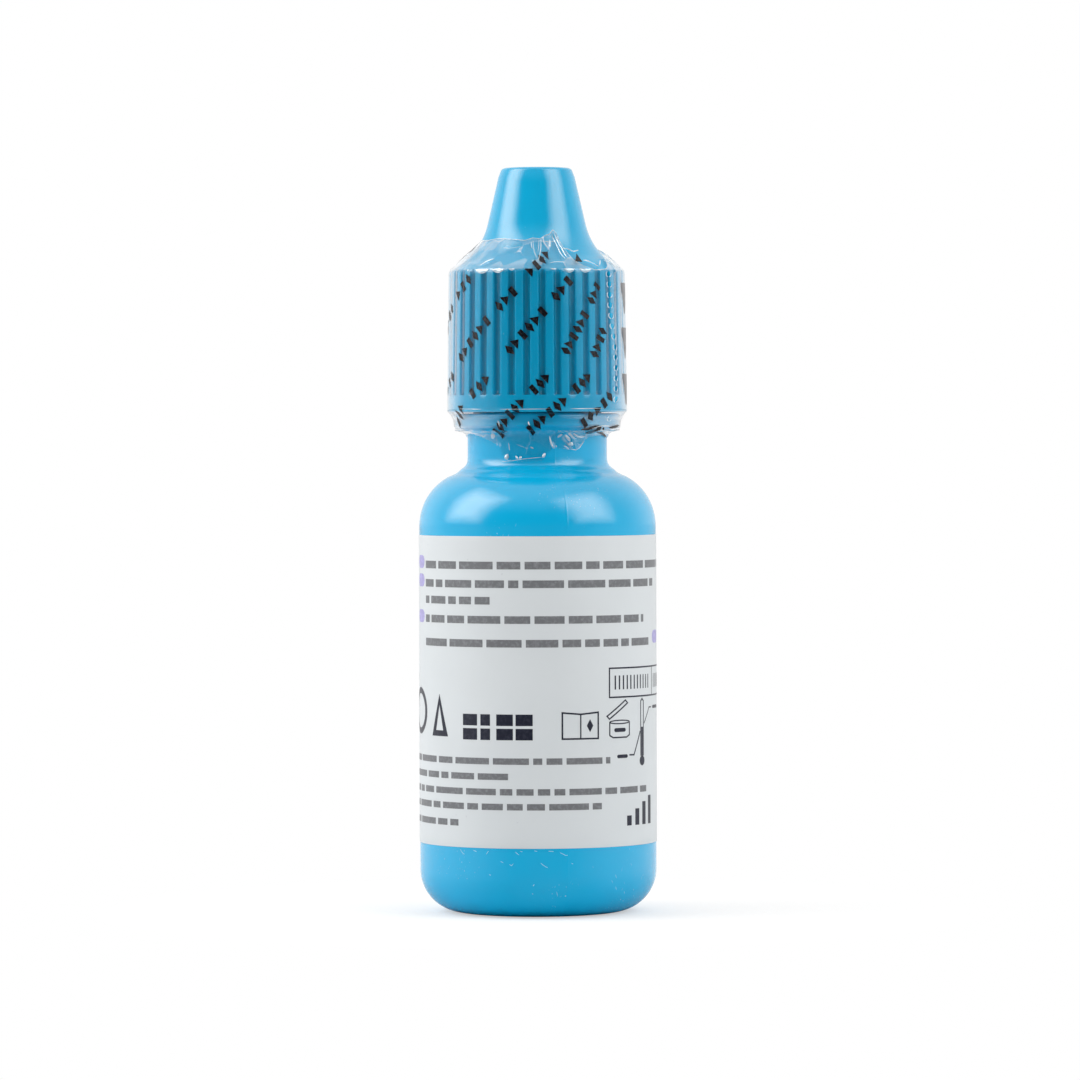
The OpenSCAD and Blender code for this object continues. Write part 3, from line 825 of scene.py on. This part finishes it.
CUT_Z = [50.6, 51.7, 54.9, 57.0, 59.0, 61.2, 63.3, 64.3, 66.5]
CUT_AZ = [58.1, 60.5, 61.5, 60.5, 57.3, 55.1, 54.6, 53.6, 57.0]
TOP_AZ = [-180, -150, -120, -86, -60, -42, -26, -12, -4, 3, 9, 14, 18, 22, 24.5, 28, 34, 41, 48, 56,
          60, 63, 66, 74, 84, 95, 108, 124, 150, 180]
TOP_Z = [67.3, 67.6, 67.5, 67.85, 67.75, 67.9, 67.8, 67.65, 67.9, 67.8, 68.15, 68.3, 68.75, 68.3, 66.7,
         65.6, 65.0, 64.66, 64.68, 64.8, 65.1, 65.9, 66.35, 66.3, 66.4, 66.2, 66.9, 67.4, 67.5, 67.3]
FOOT_AZ = [-180, -150, -120, -90, -64, -53, -42, -31, -28, -24, -14, 5, 8, 12, 22, 31, 37, 42, 48, 60,
           90, 120, 150, 180]
FOOT_Z = [46.9, 46.2, 47.4, 48.15, 48.3, 48.0, 47.6, 47.0, 45.9, 45.6, 45.5, 45.55, 46.3, 46.85, 46.75,
          46.55, 46.9, 47.7, 48.0, 48.1, 48.2, 47.0, 46.4, 46.9]
COLLAR_Z = [45.2, 45.7, 46.3, 47.5, 48.1, 48.35, 48.65, 49.0, 49.7, 50.2, 50.45, 50.59, 50.75]
COLLAR_R = [7.5, 7.28, 7.2, 7.15, 7.17, 7.35, 8.1, 8.42, 8.5, 8.75, 8.98, 9.08, 9.1]
# Soft folds: height, half-width, points (az, z)
FOLDS = [
    (0.12, 0.14, (-3.5, 67.7), (0.2, 65.8)), (0.14, 0.14, (4.2, 67.8), (1.1, 65.5)),
    (0.2, 0.16, (18, 68.4), (20.6, 67.4), (22.8, 65.9)),
    (0.14, 0.2, (20.3, 66.8), (36.7, 66.6), (37.8, 65.8)), (0.14, 0.16, (35, 65.6), (46.7, 65)),
    (0.07, 0.14, (9, 65.3), (21, 65.4)), (0.07, 0.2, (-55, 65.3), (-42, 65.2), (-32, 65.9)),
    (-0.06, 0.16, (-31, 66.9), (-12, 67)), (0.15, 0.16, (62, 64.6), (67, 66.3)),
    (-0.1, 0.16, (74, 64.7), (78, 66.2)), (0.14, 0.16, (-140, 67), (-132, 65.2)),
    (0.14, 0.16, (140, 67.2), (150, 65.4)), (0.05, 0.14, (-19.4, 49.1), (-5.7, 49.15), (6.1, 49.3)),
    (-0.05, 0.16, (-48, 50.2), (-20, 50.05), (12, 50.2)), (0.05, 0.2, (-23, 47.5), (-22.6, 46.2)),
    (0.04, 0.2, (-12, 47.6), (-11.2, 46.2)), (0.1, 0.2, (9.8, 48.1), (12.8, 46.8)),
    (0.14, 0.2, (16, 47.9), (24.5, 48.4), (31, 47.7), (41, 48)), (0.16, 0.2, (27, 47.9), (32, 46.9)),
    (0.16, 0.14, (34, 48.6), (44, 48.5), (58, 48.75), (74, 48.8)),
]
# Sharp creases of the sleeve, the strip and the collar, pale partly as doubled film and partly as painted
# glints: width, height, points (az, z)
CREASES = {
    "sleeve_body": [
        (0.1, 0.05, (-3.5, 67.63), (-2.2, 66.6), (0.2, 65.8)),
        (0.12, 0.05, (-5.2, 67.5), (-4.4, 66.9), (-3.4, 66.8)),
        (0.14, 0.05, (4.2, 67.76), (3.5, 66.8), (1.1, 65.5)),
        (0.08, 0.04, (2.2, 67.7), (1.9, 67.1), (0.9, 66.4)),
        (0.3, 0.08, (13.4, 67.7), (12.4, 67.3), (11.8, 66.9)),
        (0.16, 0.06, (16.2, 68.1), (18.2, 67.4), (19.4, 66.4), (21.6, 65.7)),
        (0.18, 0.07, (18.6, 68.5), (20.6, 67.4), (22.8, 65.9)),
        (0.14, 0.06, (20.3, 66.8), (27, 66.75), (31, 66.5), (36.7, 66.65)),
        (0.16, 0.06, (35.1, 65.6), (40, 65.5), (46.7, 65)),
        (0.08, 0.04, (9, 65.3), (14, 65.42), (21.1, 65.38)),
        (0.2, 0.05, (-42, 65.1), (-38, 65.55), (-32.5, 65.76)),
        (0.06, 0.03, (-31.6, 66.9), (-22, 66.85), (-12.4, 67.04)),
        (0.12, 0.06, (49.9, 65.1), (53.5, 65.4), (56.5, 65.7)),
        (0.07, 0.025, (-60, 50.8), (-50, 50.76), (-38, 50.74)),
        (0.06, 0.02, (-24, 50.72), (-8, 50.72), (9, 50.75)),
        (0.07, 0.025, (21, 50.75), (34, 50.77), (47, 50.8)),
        (0.14, 0.06, (-140, 66.9), (-135, 66.1), (-132, 65.2)),
        (0.14, 0.06, (150, 67.1), (146, 66.4), (141, 65.4)),
    ],
    "strip_body": [
        (0.12, 0.06, (60.3, 65.7), (64, 65.5), (71.2, 66)),
        (0.08, 0.05, (66, 64.9), (68.5, 65.2), (70.3, 65.8)),
    ],
    "bottle_body": [
        (0.16, 0.06, (-27.6, 49.6), (-26.9, 49.3), (-26.2, 48.95)),
        (0.14, 0.06, (-5.9, 49.5), (-5.8, 49.3), (-5, 49.1)), (0.08, 0.03, (-23.4, 47.4), (-22.4, 46.6)),
        (0.14, 0.06, (-5.6, 46.95), (-3, 46.8)), (0.34, 0.12, (4.3, 45.9), (6.4, 46.33)),
        (0.2, 0.05, (9.8, 48), (11, 47.4), (12.8, 46.8)),
        (0.22, 0.08, (16, 47.9), (18.4, 48.1), (19.9, 48.17)),
        (0.3, 0.1, (22.6, 48.1), (24.8, 47.9), (27, 47.5)),
        (0.26, 0.1, (24.5, 48.35), (28.4, 48), (31.2, 47.7)),
        (0.22, 0.09, (29.5, 48.3), (35.5, 47.95), (41, 48)),
        (0.3, 0.1, (25.4, 47.15), (27.9, 47.3), (29.6, 47.1)),
        (0.1, 0.05, (21.5, 47.05), (24, 46.95), (26.5, 46.7)),
        (0.08, 0.04, (27.4, 46.75), (32.2, 46.65), (36.5, 46.97), (41, 47.57)),
        (0.16, 0.08, (14.3, 47.05), (15.9, 47)),
        (0.1, 0.06, (37, 48.72), (44, 48.86), (51, 49.05), (62, 49)),
        (0.12, 0.07, (44, 48.45), (50, 48.6), (58, 48.55)),
        (0.1, 0.05, (-52, 48.2), (-49, 48), (-45.5, 48.15)),
        (0.07, 0.03, (-29, 45.52), (-21, 45.56), (-13, 45.72), (-4, 45.84), (5, 45.95)),
    ],
}
# Puckers of the collar, pale partly as doubled film and partly as painted glints: az, z, width, length, lean,
# height
PUCKERS = [
    (-38.2, 48.05, 0.5, 0.62, 52, 0.13), (-25.0, 45.96, 0.46, 0.6, 8, 0.13),
    (-16.4, 45.9, 0.2, 0.42, -35, 0.1), (-13.4, 45.88, 0.24, 0.36, 25, 0.1),
    (27.8, 47.22, 0.36, 0.3, 20, 0.1), (-166, 47.6, 0.5, 0.7, 30, 0.13), (120, 48.0, 0.45, 0.6, -30, 0.12),
]
# Film slung over the grooves' upper ends, pale as painted glints: az, half its width in degrees, drop
HAMMOCKS = [(-50.5, 1.6, 0.2), (-38.0, 6.2, 0.46), (-25.9, 5.0, 0.42), (-16.2, 2.3, 0.2), (10.9, 2.2, 0.14),
            (21.7, 4.0, 0.42), (33.3, 5.0, 0.4), (120, 5.0, 0.4), (152, 4.6, 0.42), (-118, 5.0, 0.4)]
# Dark shreds, where print is bunched up under the bead: width, height, points (az, z)
SHREDS = [
    (0.3, 0.05, (31.7, 48.66), (36, 48.72), (39.4, 48.8), (44, 48.94), (47.7, 49.03)),
    (0.44, 0.06, (40.1, 48.4), (45, 48.48), (51.1, 48.5)),
    (0.42, 0.06, (45.5, 48.82), (48, 48.8), (50.5, 48.9)),
    (0.3, 0.05, (59, 48.88), (66, 48.92), (78.1, 49.08)),
    (0.2, 0.05, (52.3, 48.42), (62, 48.3), (78.9, 47.86)), (0.34, 0.05, (51.5, 48.78), (54, 48.7)),
]


def around(az, xs, ys):
    """A value given at angles round the axis, and straight between them."""
    return np.interp((np.asarray(az) + 180) % 360 - 180, xs, ys)


def cut_shift(u, z):
    """How far az is from u, close to the first row of perforations."""
    off = np.abs(np.asarray(u) - STRIP_FROM)
    off = np.minimum(off, 360 - off)
    return (np.interp(z, CUT_Z, CUT_AZ) - STRIP_FROM) * smooth(1 - off / 20)


def zigzag(turns):
    return np.abs(2 * (turns % 1.0) - 1)


def fold_height(az, z):
    total = 0.0
    per = DEG * FOLD_R
    for height, width, *points in FOLDS:
        best = 1e9
        for (a0, z0), (a1, z1) in zip(points, points[1:]):
            px, pz = ((az - a0 + 180) % 360 - 180) * per, z - z0
            dx, dz = (a1 - a0) * per, z1 - z0
            t = np.clip((px * dx + pz * dz) / (dx * dx + dz * dz), 0, 1)
            best = np.minimum(best, np.hypot(px - t * dx, pz - t * dz))
        total = total + height * np.exp(-(best / width) ** 1.4)
    return total


def film_r(u, z):
    """Radius of the film."""
    az = np.asarray(u) + cut_shift(u, z)
    z = np.asarray(z, float)
    skirt = rib_r(z) + FILM_OUT
    # A tent from the skirt's upper edge to the flare, rounded where it meets the skirt
    tent_foot, tent_top = SKIRT_TOP_R + FILM_OUT, float(cone_r(TENT_TOP_Z)) + 0.07
    tent = tent_foot + (tent_top - tent_foot) * (z - SHOULDER_Z) / (TENT_TOP_Z - SHOULDER_Z)
    tent = np.where(z > TENT_TOP_Z, cone_r(z) + 0.07, tent)
    upper = 0.5 * (skirt + tent - np.sqrt((skirt - tent) ** 2 + 0.06 ** 2))
    collar = np.interp(z, COLLAR_Z, COLLAR_R)
    r = np.where(z < CAP_Z + 0.2, np.minimum(collar, skirt), upper)
    # It sags into the grooves
    across = ((az - GROOVE_AZ) / PITCH) % 1.0
    sag = smooth(1 - np.minimum(across, 1 - across) / 0.27) * 0.045
    r = r - sag * smooth((z - BAND_TOP + 0.1) / 0.5) * (1 - smooth((z - SHOULDER_Z + 0.5) / 1.3))
    # Slow unevenness, tighter near the foot, and a slack upper part
    slack = 0.003 + 0.02 * smooth((z - SHOULDER_Z) / 1.5) + 0.022 * smooth((49.0 - z) / 1.5)
    r = r + slack * (np.sin(az * 6 * DEG + z * 0.5) + np.sin(az * 15 * DEG - z * 0.9 + 1.3)
                     + 0.5 * np.sin(az * 34 * DEG + z * 0.4 + 2.1))
    loose = smooth((z - SHOULDER_Z - 0.1) / 0.9)
    r = r + 0.07 * loose * (zigzag(az / 24 + z * 0.16) + 0.6 * zigzag(az / 18 - z * 0.21 + 0.3) - 0.8)
    r = r + fold_height(az, z)
    # It never cuts into the neck, the bead or the cap
    floor = np.where(z < BEAD_Z - 0.4, NECK_R + 0.06, np.where(z < BEAD_TOP, BEAD_R + 0.03, 0))
    under = np.where(z > SHOULDER_Z + 1.2, cone_r(z) + 0.04, 0)
    return np.maximum(np.maximum(r, floor), under)


def film_point(u, z, lift=0.0):
    """A point on the film, or at a lift over it."""
    return place(film_r(u, z) + lift, u + cut_shift(u, z), z)


def film_sheet(name, u0, u1, body, replaced):
    """Film between two rows of perforations, from the cap's foot up to its uneven top edge."""
    # Columns are crowded next to the cuts
    close = np.array([0, 0.03, 0.07, 0.12, 0.18, 0.26, 0.36, 0.5]) / FILM_PER
    count = int(round((u1 - u0 - 2 * close[-1]) / 0.94))
    middle = np.linspace(u0 + close[-1], u1 - close[-1], count + 1)[1:-1]
    cols = np.concatenate([u0 + close, middle, (u1 - close)[::-1]])
    low = np.append(HOLE_TOP_Z - np.arange(0, 130.5) * HOLE_PITCH / 10, FILM_FOOT)[::-1]
    top = around(cols, TOP_AZ, TOP_Z)
    steps = np.linspace(0, 1, 34)[1:, None] ** 0.9
    z = np.vstack([np.repeat(low[:, None], len(cols), axis=1), HOLE_TOP_Z + (top - HOLE_TOP_Z) * steps])
    u = np.repeat(cols[None, :], len(z), axis=0)
    # Perforations: half of each is cut out of this sheet's edge, and their rims stand up
    from_middle = z - HOLE_TOP_Z + np.clip(np.round((HOLE_TOP_Z - z) / HOLE_PITCH), 0, HOLES - 1) * HOLE_PITCH
    from0, from1 = (u - u0) * FILM_PER, (u1 - u) * FILM_PER
    rim = 0.0
    for off in (from0, from1):
        out = np.hypot(off / HOLE_WIDE, from_middle) - HOLE_R
        rim = rim + 0.015 * np.exp(-((out - 0.04) / 0.08) ** 2) * (z < HOLE_TOP_Z + 0.6)
    half = (HOLE_WIDE * np.sqrt(np.maximum(HOLE_R ** 2 - from_middle ** 2, 0)) + 0.012) / FILM_PER
    u = u + half * np.exp(-from0 / 0.42) - half * np.exp(-from1 / 0.42)
    faces = grid_faces(len(z), len(cols), False)
    add_mesh(name, film_point(u, z, rim).reshape(-1, 3), faces, FILM, body, [replaced], None)


def make_collar():
    cols = np.linspace(-180, 180, 384, endpoint=False)
    rng = np.random.default_rng(5)
    foot = around(cols, FOOT_AZ, FOOT_Z)
    foot = foot + 0.05 * np.sin(cols * 1.7) + rng.uniform(-0.03, 0.03, len(cols))
    z = foot + (FILM_FOOT - 0.008 - foot) * np.linspace(0, 1, 46)[:, None]
    points = film_point(np.repeat(cols[None, :], len(z), axis=0), z)
    faces = grid_faces(len(z), len(cols), True)
    add_mesh("film_collar", points.reshape(-1, 3), faces, FILM, "bottle_body",
             ["neck_film"], None)


class Ridges:
    """Low rounded ridges and domes that lie on the film, all in one mesh."""

    def __init__(self):
        self.verts, self.faces = [], []

    def grid(self, u, z, lift):
        """Rows of points given by angle, height and lift over the film."""
        start = len(self.verts)
        self.verts += list(film_point(u, z, lift).reshape(-1, 3))
        self.faces += grid_faces(*np.shape(u), False, start)

    def ridge(self, width, height, *path, taper=True):
        """A ridge along (angle, height) points. Both its ends run out unless it has no taper."""
        flat = np.asarray(path, float) * [FILM_PER, 1]
        flat = spline(flat, 6) if len(flat) > 2 else flat
        along = np.append(0, np.cumsum(np.linalg.norm(np.diff(flat, axis=0), axis=1)))
        t = np.linspace(0, along[-1], max(4, int(along[-1] / 0.12)) + 1)
        s, z = np.interp(t, along, flat[:, 0]), np.interp(t, along, flat[:, 1])
        d = np.column_stack([np.gradient(s), np.gradient(z)])
        d /= np.linalg.norm(d, axis=1, keepdims=True)
        full = np.sqrt(np.clip(np.minimum(t, t[-1] - t) / (0.3 * t[-1]), 0.04, 1))
        if not taper:
            full[:] = 1
        across = np.array([1, 0.55, 0, -0.55, -1])[:, None] * width / 2 * full
        rises = np.array([-0.05, 0.7, 1.0, 0.7, -0.05])[:, None] * height * full
        self.grid((s - d[:, 1] * across) / FILM_PER, z + d[:, 0] * across, 0.006 + rises)

    def dome(self, az, z, width, length, lean, height):
        per = DEG * film_r(az, z)
        turn = np.linspace(0, 360, 17) * DEG
        out = np.array([1.0, 0.8, 0.5, 0.2, 0.001])[:, None]
        x, y = out * width / 2 * np.cos(turn), out * length / 2 * np.sin(turn)
        a = lean * DEG
        self.grid(az + (x * math.cos(a) + y * math.sin(a)) / per, z - x * math.sin(a) + y * math.cos(a),
                  0.004 + height * (1 - out ** 2) + 0 * x)

    def hammock(self, az, half, drop):
        """Film that hangs over the upper end of a groove: level on top and sagging below."""
        across = np.linspace(-1, 1, 13)
        down = np.linspace(1, 0, 5)[:, None]
        z = SHOULDER_Z + 0.05 - down * drop * (1 - across ** 2)
        self.grid(az + half * across + 0 * down, z, 0.012 + 0.02 * np.sin(math.pi * down) + 0 * z)

    def rim(self, width, height, cut, side, z, low, high):
        """Part of a perforation's rim on one side of a cut, between two angles from level."""
        angles = np.linspace(low, high, 7) * DEG
        self.ridge(width, height, *[(cut + side * HOLE_WIDE * HOLE_R * math.cos(a) / FILM_PER,
                                     z + HOLE_R * math.sin(a)) for a in angles])

    def add(self, name, material, body):
        add_mesh(name, self.verts, self.faces, material, body, sharp=None)


def make_creases():
    edge = {"sleeve_body": (STRIP_TO, STRIP_FROM + 360), "strip_body": (STRIP_FROM, STRIP_TO)}
    for body, lines in CREASES.items():
        ridges, rims = Ridges(), Ridges()
        for line in lines:
            ridges.ridge(*line)
        if body == "sleeve_body":
            for hammock in HAMMOCKS:
                ridges.hammock(*hammock)
        if body in edge:
            u = np.arange(edge[body][0] + 0.4, edge[body][1] - 0.4, 1.0)
            ridges.ridge(0.07, 0.03, *np.column_stack([u, around(u, TOP_AZ, TOP_Z) - 0.03]), taper=False)
            # The rims' arcs take the pale painted glint colour, on the lower side of each hole
            width, low, high = (0.09, -75, 60) if body == "sleeve_body" else (0.06, -80, 30)
            for z in HOLE_TOP_Z - np.arange(HOLES) * HOLE_PITCH:
                for cut, side in zip(edge[body], (1, -1)):
                    rims.rim(width, 0.06, cut, side, z, low, high)
        else:
            # One more perforation, in the collar
            rims.rim(0.1, 0.06, STRIP_FROM, -1, 49.78, -80, 60)
            rims.rim(0.06, 0.05, STRIP_FROM, 1, 49.78, -80, 0)
            for pucker in PUCKERS:
                ridges.dome(*pucker)
        # The creases, puckers and hammocks are pale doubled film, partly painted glints
        ridges.add("film_crease_glints_" + body.split("_")[0], CREASE_FILM_AND_GLINTS, body)
        rims.add("film_rims_" + body.split("_")[0], HOLE_RIM_GLINT, body)
    shreds = Ridges()
    for line in SHREDS:
        shreds.ridge(*line)
    shreds.add("film_shreds", FILM_INK, "bottle_body")


# Printed rows on the film: (u, z) of a row's foot and head, and which of its ten places hold a shape
ROWS = [
    ((-56.3, 55.2), (-9.5, 62.4), "1111110111"), ((-16.0, 55.9), (26.7, 63.5), "1111110111"),
    ((21.4, 55.9), (48.5, 63.1), "1111110111"), ((42.5, 55.6), (52.5, 58.7), "1111"),
    ((-101, 56.6), (-43.8, 63.7), "1111110111"), ((-2.4, 63.8), (12.7, 66.1), "1111"),
    ((-67.5, 48.7), (-27.6, 53.7), "1110111"), ((-28.6, 47.6), (11.4, 53.8), "1111110111"),
    ((-3.4, 47.9), (39.8, 53.8), "1111110111"), ((35.0, 48.6), (57.0, 51.9), "11111"),
    ((-106, 49.5), (-64, 53.9), "1110111"), ((27.9, 65.4), (32.0, 64.8), "1"),
    ((-141, 55.4), (-94, 62.6), "1111110111"), ((-181, 55.2), (-134, 62.4), "1111110111"),
    ((139, 55.4), (184, 62.6), "1111110111"), ((104, 55.2), (144, 62.4), "1111110111"),
    ((-146, 48.9), (-104, 53.8), "1110111"), ((-186, 48.9), (-144, 53.8), "1110111"),
    ((134, 48.9), (174, 53.8), "1110111"), ((96, 48.9), (134, 53.8), "1110111"),
    ((-90, 64.6), (-72, 66.9), "1111"), ((-140, 64.4), (-122, 66.9), "1111"),
    ((150, 64.4), (168, 66.9), "1111"),
]
MARK_W, MARK_H = 0.76, 1.34
DASH_AZ = 81.7


def make_marks():
    """Rows of solid lozenges, wedges and blocks, and the strip's three grey wedges."""
    w, h = MARK_W, MARK_H
    shapes = [
        [(0, h / 2), (w / 2, 0), (w, h / 2), (w / 2, h)], [(0, 0.08), (w, h / 2), (0, h - 0.08)],
        [(0.08, 0.14), (w - 0.14, 0.14), (w - 0.08, h - 0.14), (0.14, h - 0.14)],
    ]
    flat = Print()
    count = 0
    for (u0, z0), (u1, z1), places in ROWS:
        start, end = np.array([u0 * FILM_PER, z0]), np.array([u1 * FILM_PER, z1])
        step = (end - start) / len(places)
        pitch = np.linalg.norm(step)
        along = step / pitch
        across = np.array([-along[1], along[0]])
        squeeze = min(1.0, pitch / (MARK_W + 0.2))
        for i, on in enumerate(places):
            if on == "1":
                shape = shapes[count % len(shapes)]
                count += 1
                flat.solid([start + step * i + along * x * squeeze + across * y for x, y in shape], 5)
    verts = [(s / FILM_PER, z) for s, z in flat.verts]
    gap = 0.12
    low, high = (1, FILM_FOOT - 0.02, -1), (1, FILM_FOOT + 0.01, 1)
    pieces = (
        ("film_marks_collar", "bottle_body", [[low]]),
        ("film_marks_strip", "strip_body", [[high, (0, STRIP_FROM + gap, 1), (0, STRIP_TO - gap, -1)]]),
        ("film_marks_sleeve", "sleeve_body",
         [[high, (0, STRIP_FROM - gap, -1)], [high, (0, STRIP_TO + gap, 1)]]),
    )
    for name, body, cuts in pieces:
        all_verts, all_faces = [], []
        for keep in cuts:
            cut_verts, cut_faces = cut_mesh(verts, flat.faces, keep)
            all_faces += [[len(all_verts) + i for i in face] for face in cut_faces]
            all_verts += cut_verts
        u, z = np.transpose(all_verts)
        add_mesh(name, film_point(u, z, 0.012), all_faces, FILM_INK, body, sharp=None)
    dashes = Print()
    for z0 in (51.2, 55.85, 60.35):
        for foot, head in ((0, 1.05), (1.05, 2.1), (2.1, 3.1)):
            for t0 in np.arange(8) / 8:
                t1 = t0 + 1 / 8
                corners = ((t0, foot), (t1, foot), (t1, head), (t0, head))
                dashes.polygon([((DASH_AZ + (2 * t - 1) * (2.2 + 2.4 * h)) * FILM_PER, z0 + h)
                                for t, h in corners])
    s, z = np.transpose(dashes.verts)
    add_mesh("film_dashes", film_point(s / FILM_PER, z, 0.012), dashes.faces, FILM_GREY_INK, "strip_body",
             sharp=None)


make_bottle()
make_label()
make_label_print()
make_scuffs()
make_cap()
make_tip()
make_disc()
film_sheet("film_sleeve", STRIP_TO, STRIP_FROM + 360, "sleeve_body", "seal_sleeve")
film_sheet("film_strip", STRIP_FROM, STRIP_TO, "strip_body", "tear_strip")
make_collar()
make_creases()
make_marks()
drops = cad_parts["eye_drops"]
drops.data.materials.clear()
drops.data.materials.append(DROPS)
drops.data.shade_smooth()


# Camera: level with the neck, as in the photograph

camera_data = bpy.data.cameras.new("camera")
camera_data.sensor_width = 36
camera_data.lens = 195.8
camera_data.clip_start = 0.01
camera_data.clip_end = 20
camera = link("camera", camera_data)
camera.location = (0.00025, -0.594, 0.048)
camera.rotation_mode = "QUATERNION"
tilt = Euler(((90 - 1.01) * DEG, 0, 0)).to_quaternion()
camera.rotation_quaternion = tilt @ Quaternion((0, 0, 1), -0.165 * DEG)
bpy.context.scene.camera = camera


# Light: two large soft boxes at the sides, and a pale world that is dark behind the camera

def soft_box(name, az, elevation, distance, width, height, radiance):
    """A soft box whose light falls off towards its edges, as three sheets one behind the other."""
    a, e = az * DEG, elevation * DEG
    aim = Vector((0, 0, 0.035))
    out = Vector((math.sin(a) * math.cos(e), -math.cos(a) * math.cos(e), math.sin(e)))
    for k, grow in enumerate((-0.2, 0.0, 0.2)):
        light = bpy.data.lights.new(name, "AREA")
        light.shape = "RECTANGLE"
        light.size, light.size_y = width + grow, height + grow
        light.energy = radiance / 3 * math.pi * light.size * light.size_y
        obj = link(name, light)
        obj.location = aim + out * (distance + 0.002 * k)
        obj.rotation_mode = "QUATERNION"
        obj.rotation_quaternion = out.to_track_quat("Z", "Y")


soft_box("soft_box_left", -79, 34.5, 0.8, 0.54, 0.68, 3.4)
soft_box("soft_box_right", 59, 34.5, 0.8, 0.54, 0.68, 2.5)

world = bpy.data.worlds.new("studio")
bpy.context.scene.world = world
t = Tree(world, "Generated")
half_front = t.axis("Y") * -0.5 + 0.5
overhead = t.axis("Z").between(0.45, 1.0)
for_gloss = half_front.ramp((0, 0.95), (0.16, 0.95), (0.42, 0.42), (0.6, 0.3), (0.72, 0.2), (0.84, 0.01))
for_gloss = (overhead * 0.55).mix(for_gloss, (1, 1, 1))
for_light = half_front.ramp((0, 1), (0.45, 1), (0.64, 0.25), (1, 0.18))
for_light = (overhead * 0.7).mix(for_light, (1, 1, 1))
level = t.node("ShaderNodeLightPath", {}, "Is Glossy Ray").mix(for_light, for_gloss)
level = t.seen_straight().mix(level, (1, 1, 1))
background = t.node("ShaderNodeBackground", {"Color": level, "Strength": 1.0})
t.new("ShaderNodeOutputWorld", {"Surface": background})


# Floor: white paper that keeps the shadow next to the bottle and runs out to plain white

floor_mesh = bpy.data.meshes.new("studio_floor")
corners = [(x * FLOOR, y * FLOOR, 0) for x, y in ((-1, -1), (1, -1), (1, 1), (-1, 1))]
floor_mesh.from_pydata(corners, [], [(0, 1, 2, 3)])
floor = link("studio_floor", floor_mesh)
floor.location.z = -0.00002
t = material_tree("studio_floor")
away = t.length(t.where)
far = (away * 4.0).ramp((0.04, 0.5), (0.18, 1))
seen = t.seen_straight()
half_back = t.axis("Y").math("DIVIDE", away) * 0.5 + 0.5
# Painted shade for reflections: in glossy rays the paper is dark in front of the bottle and paler behind it
for_gloss = half_back.ramp((0.03, 0.03), (0.1, 0.12), (0.2, 0.25), (0.42, 0.42), (1, 0.8))
tint = t.node("ShaderNodeLightPath", {}, "Is Glossy Ray").mix(PAPER, for_gloss)
paper = t.node("ShaderNodeBsdfDiffuse", {"Color": seen.mix(tint, PAPER)})
white = t.node("ShaderNodeEmission", {"Color": (1, 1, 1), "Strength": 1.0})
mixed = t.node("ShaderNodeMixShader", {0: far * seen, 1: paper, 2: white})
t.new("ShaderNodeOutputMaterial", {"Surface": mixed})
floor_mesh.materials.append(t.owner)

bpy.context.scene.view_settings.view_transform = "Standard"
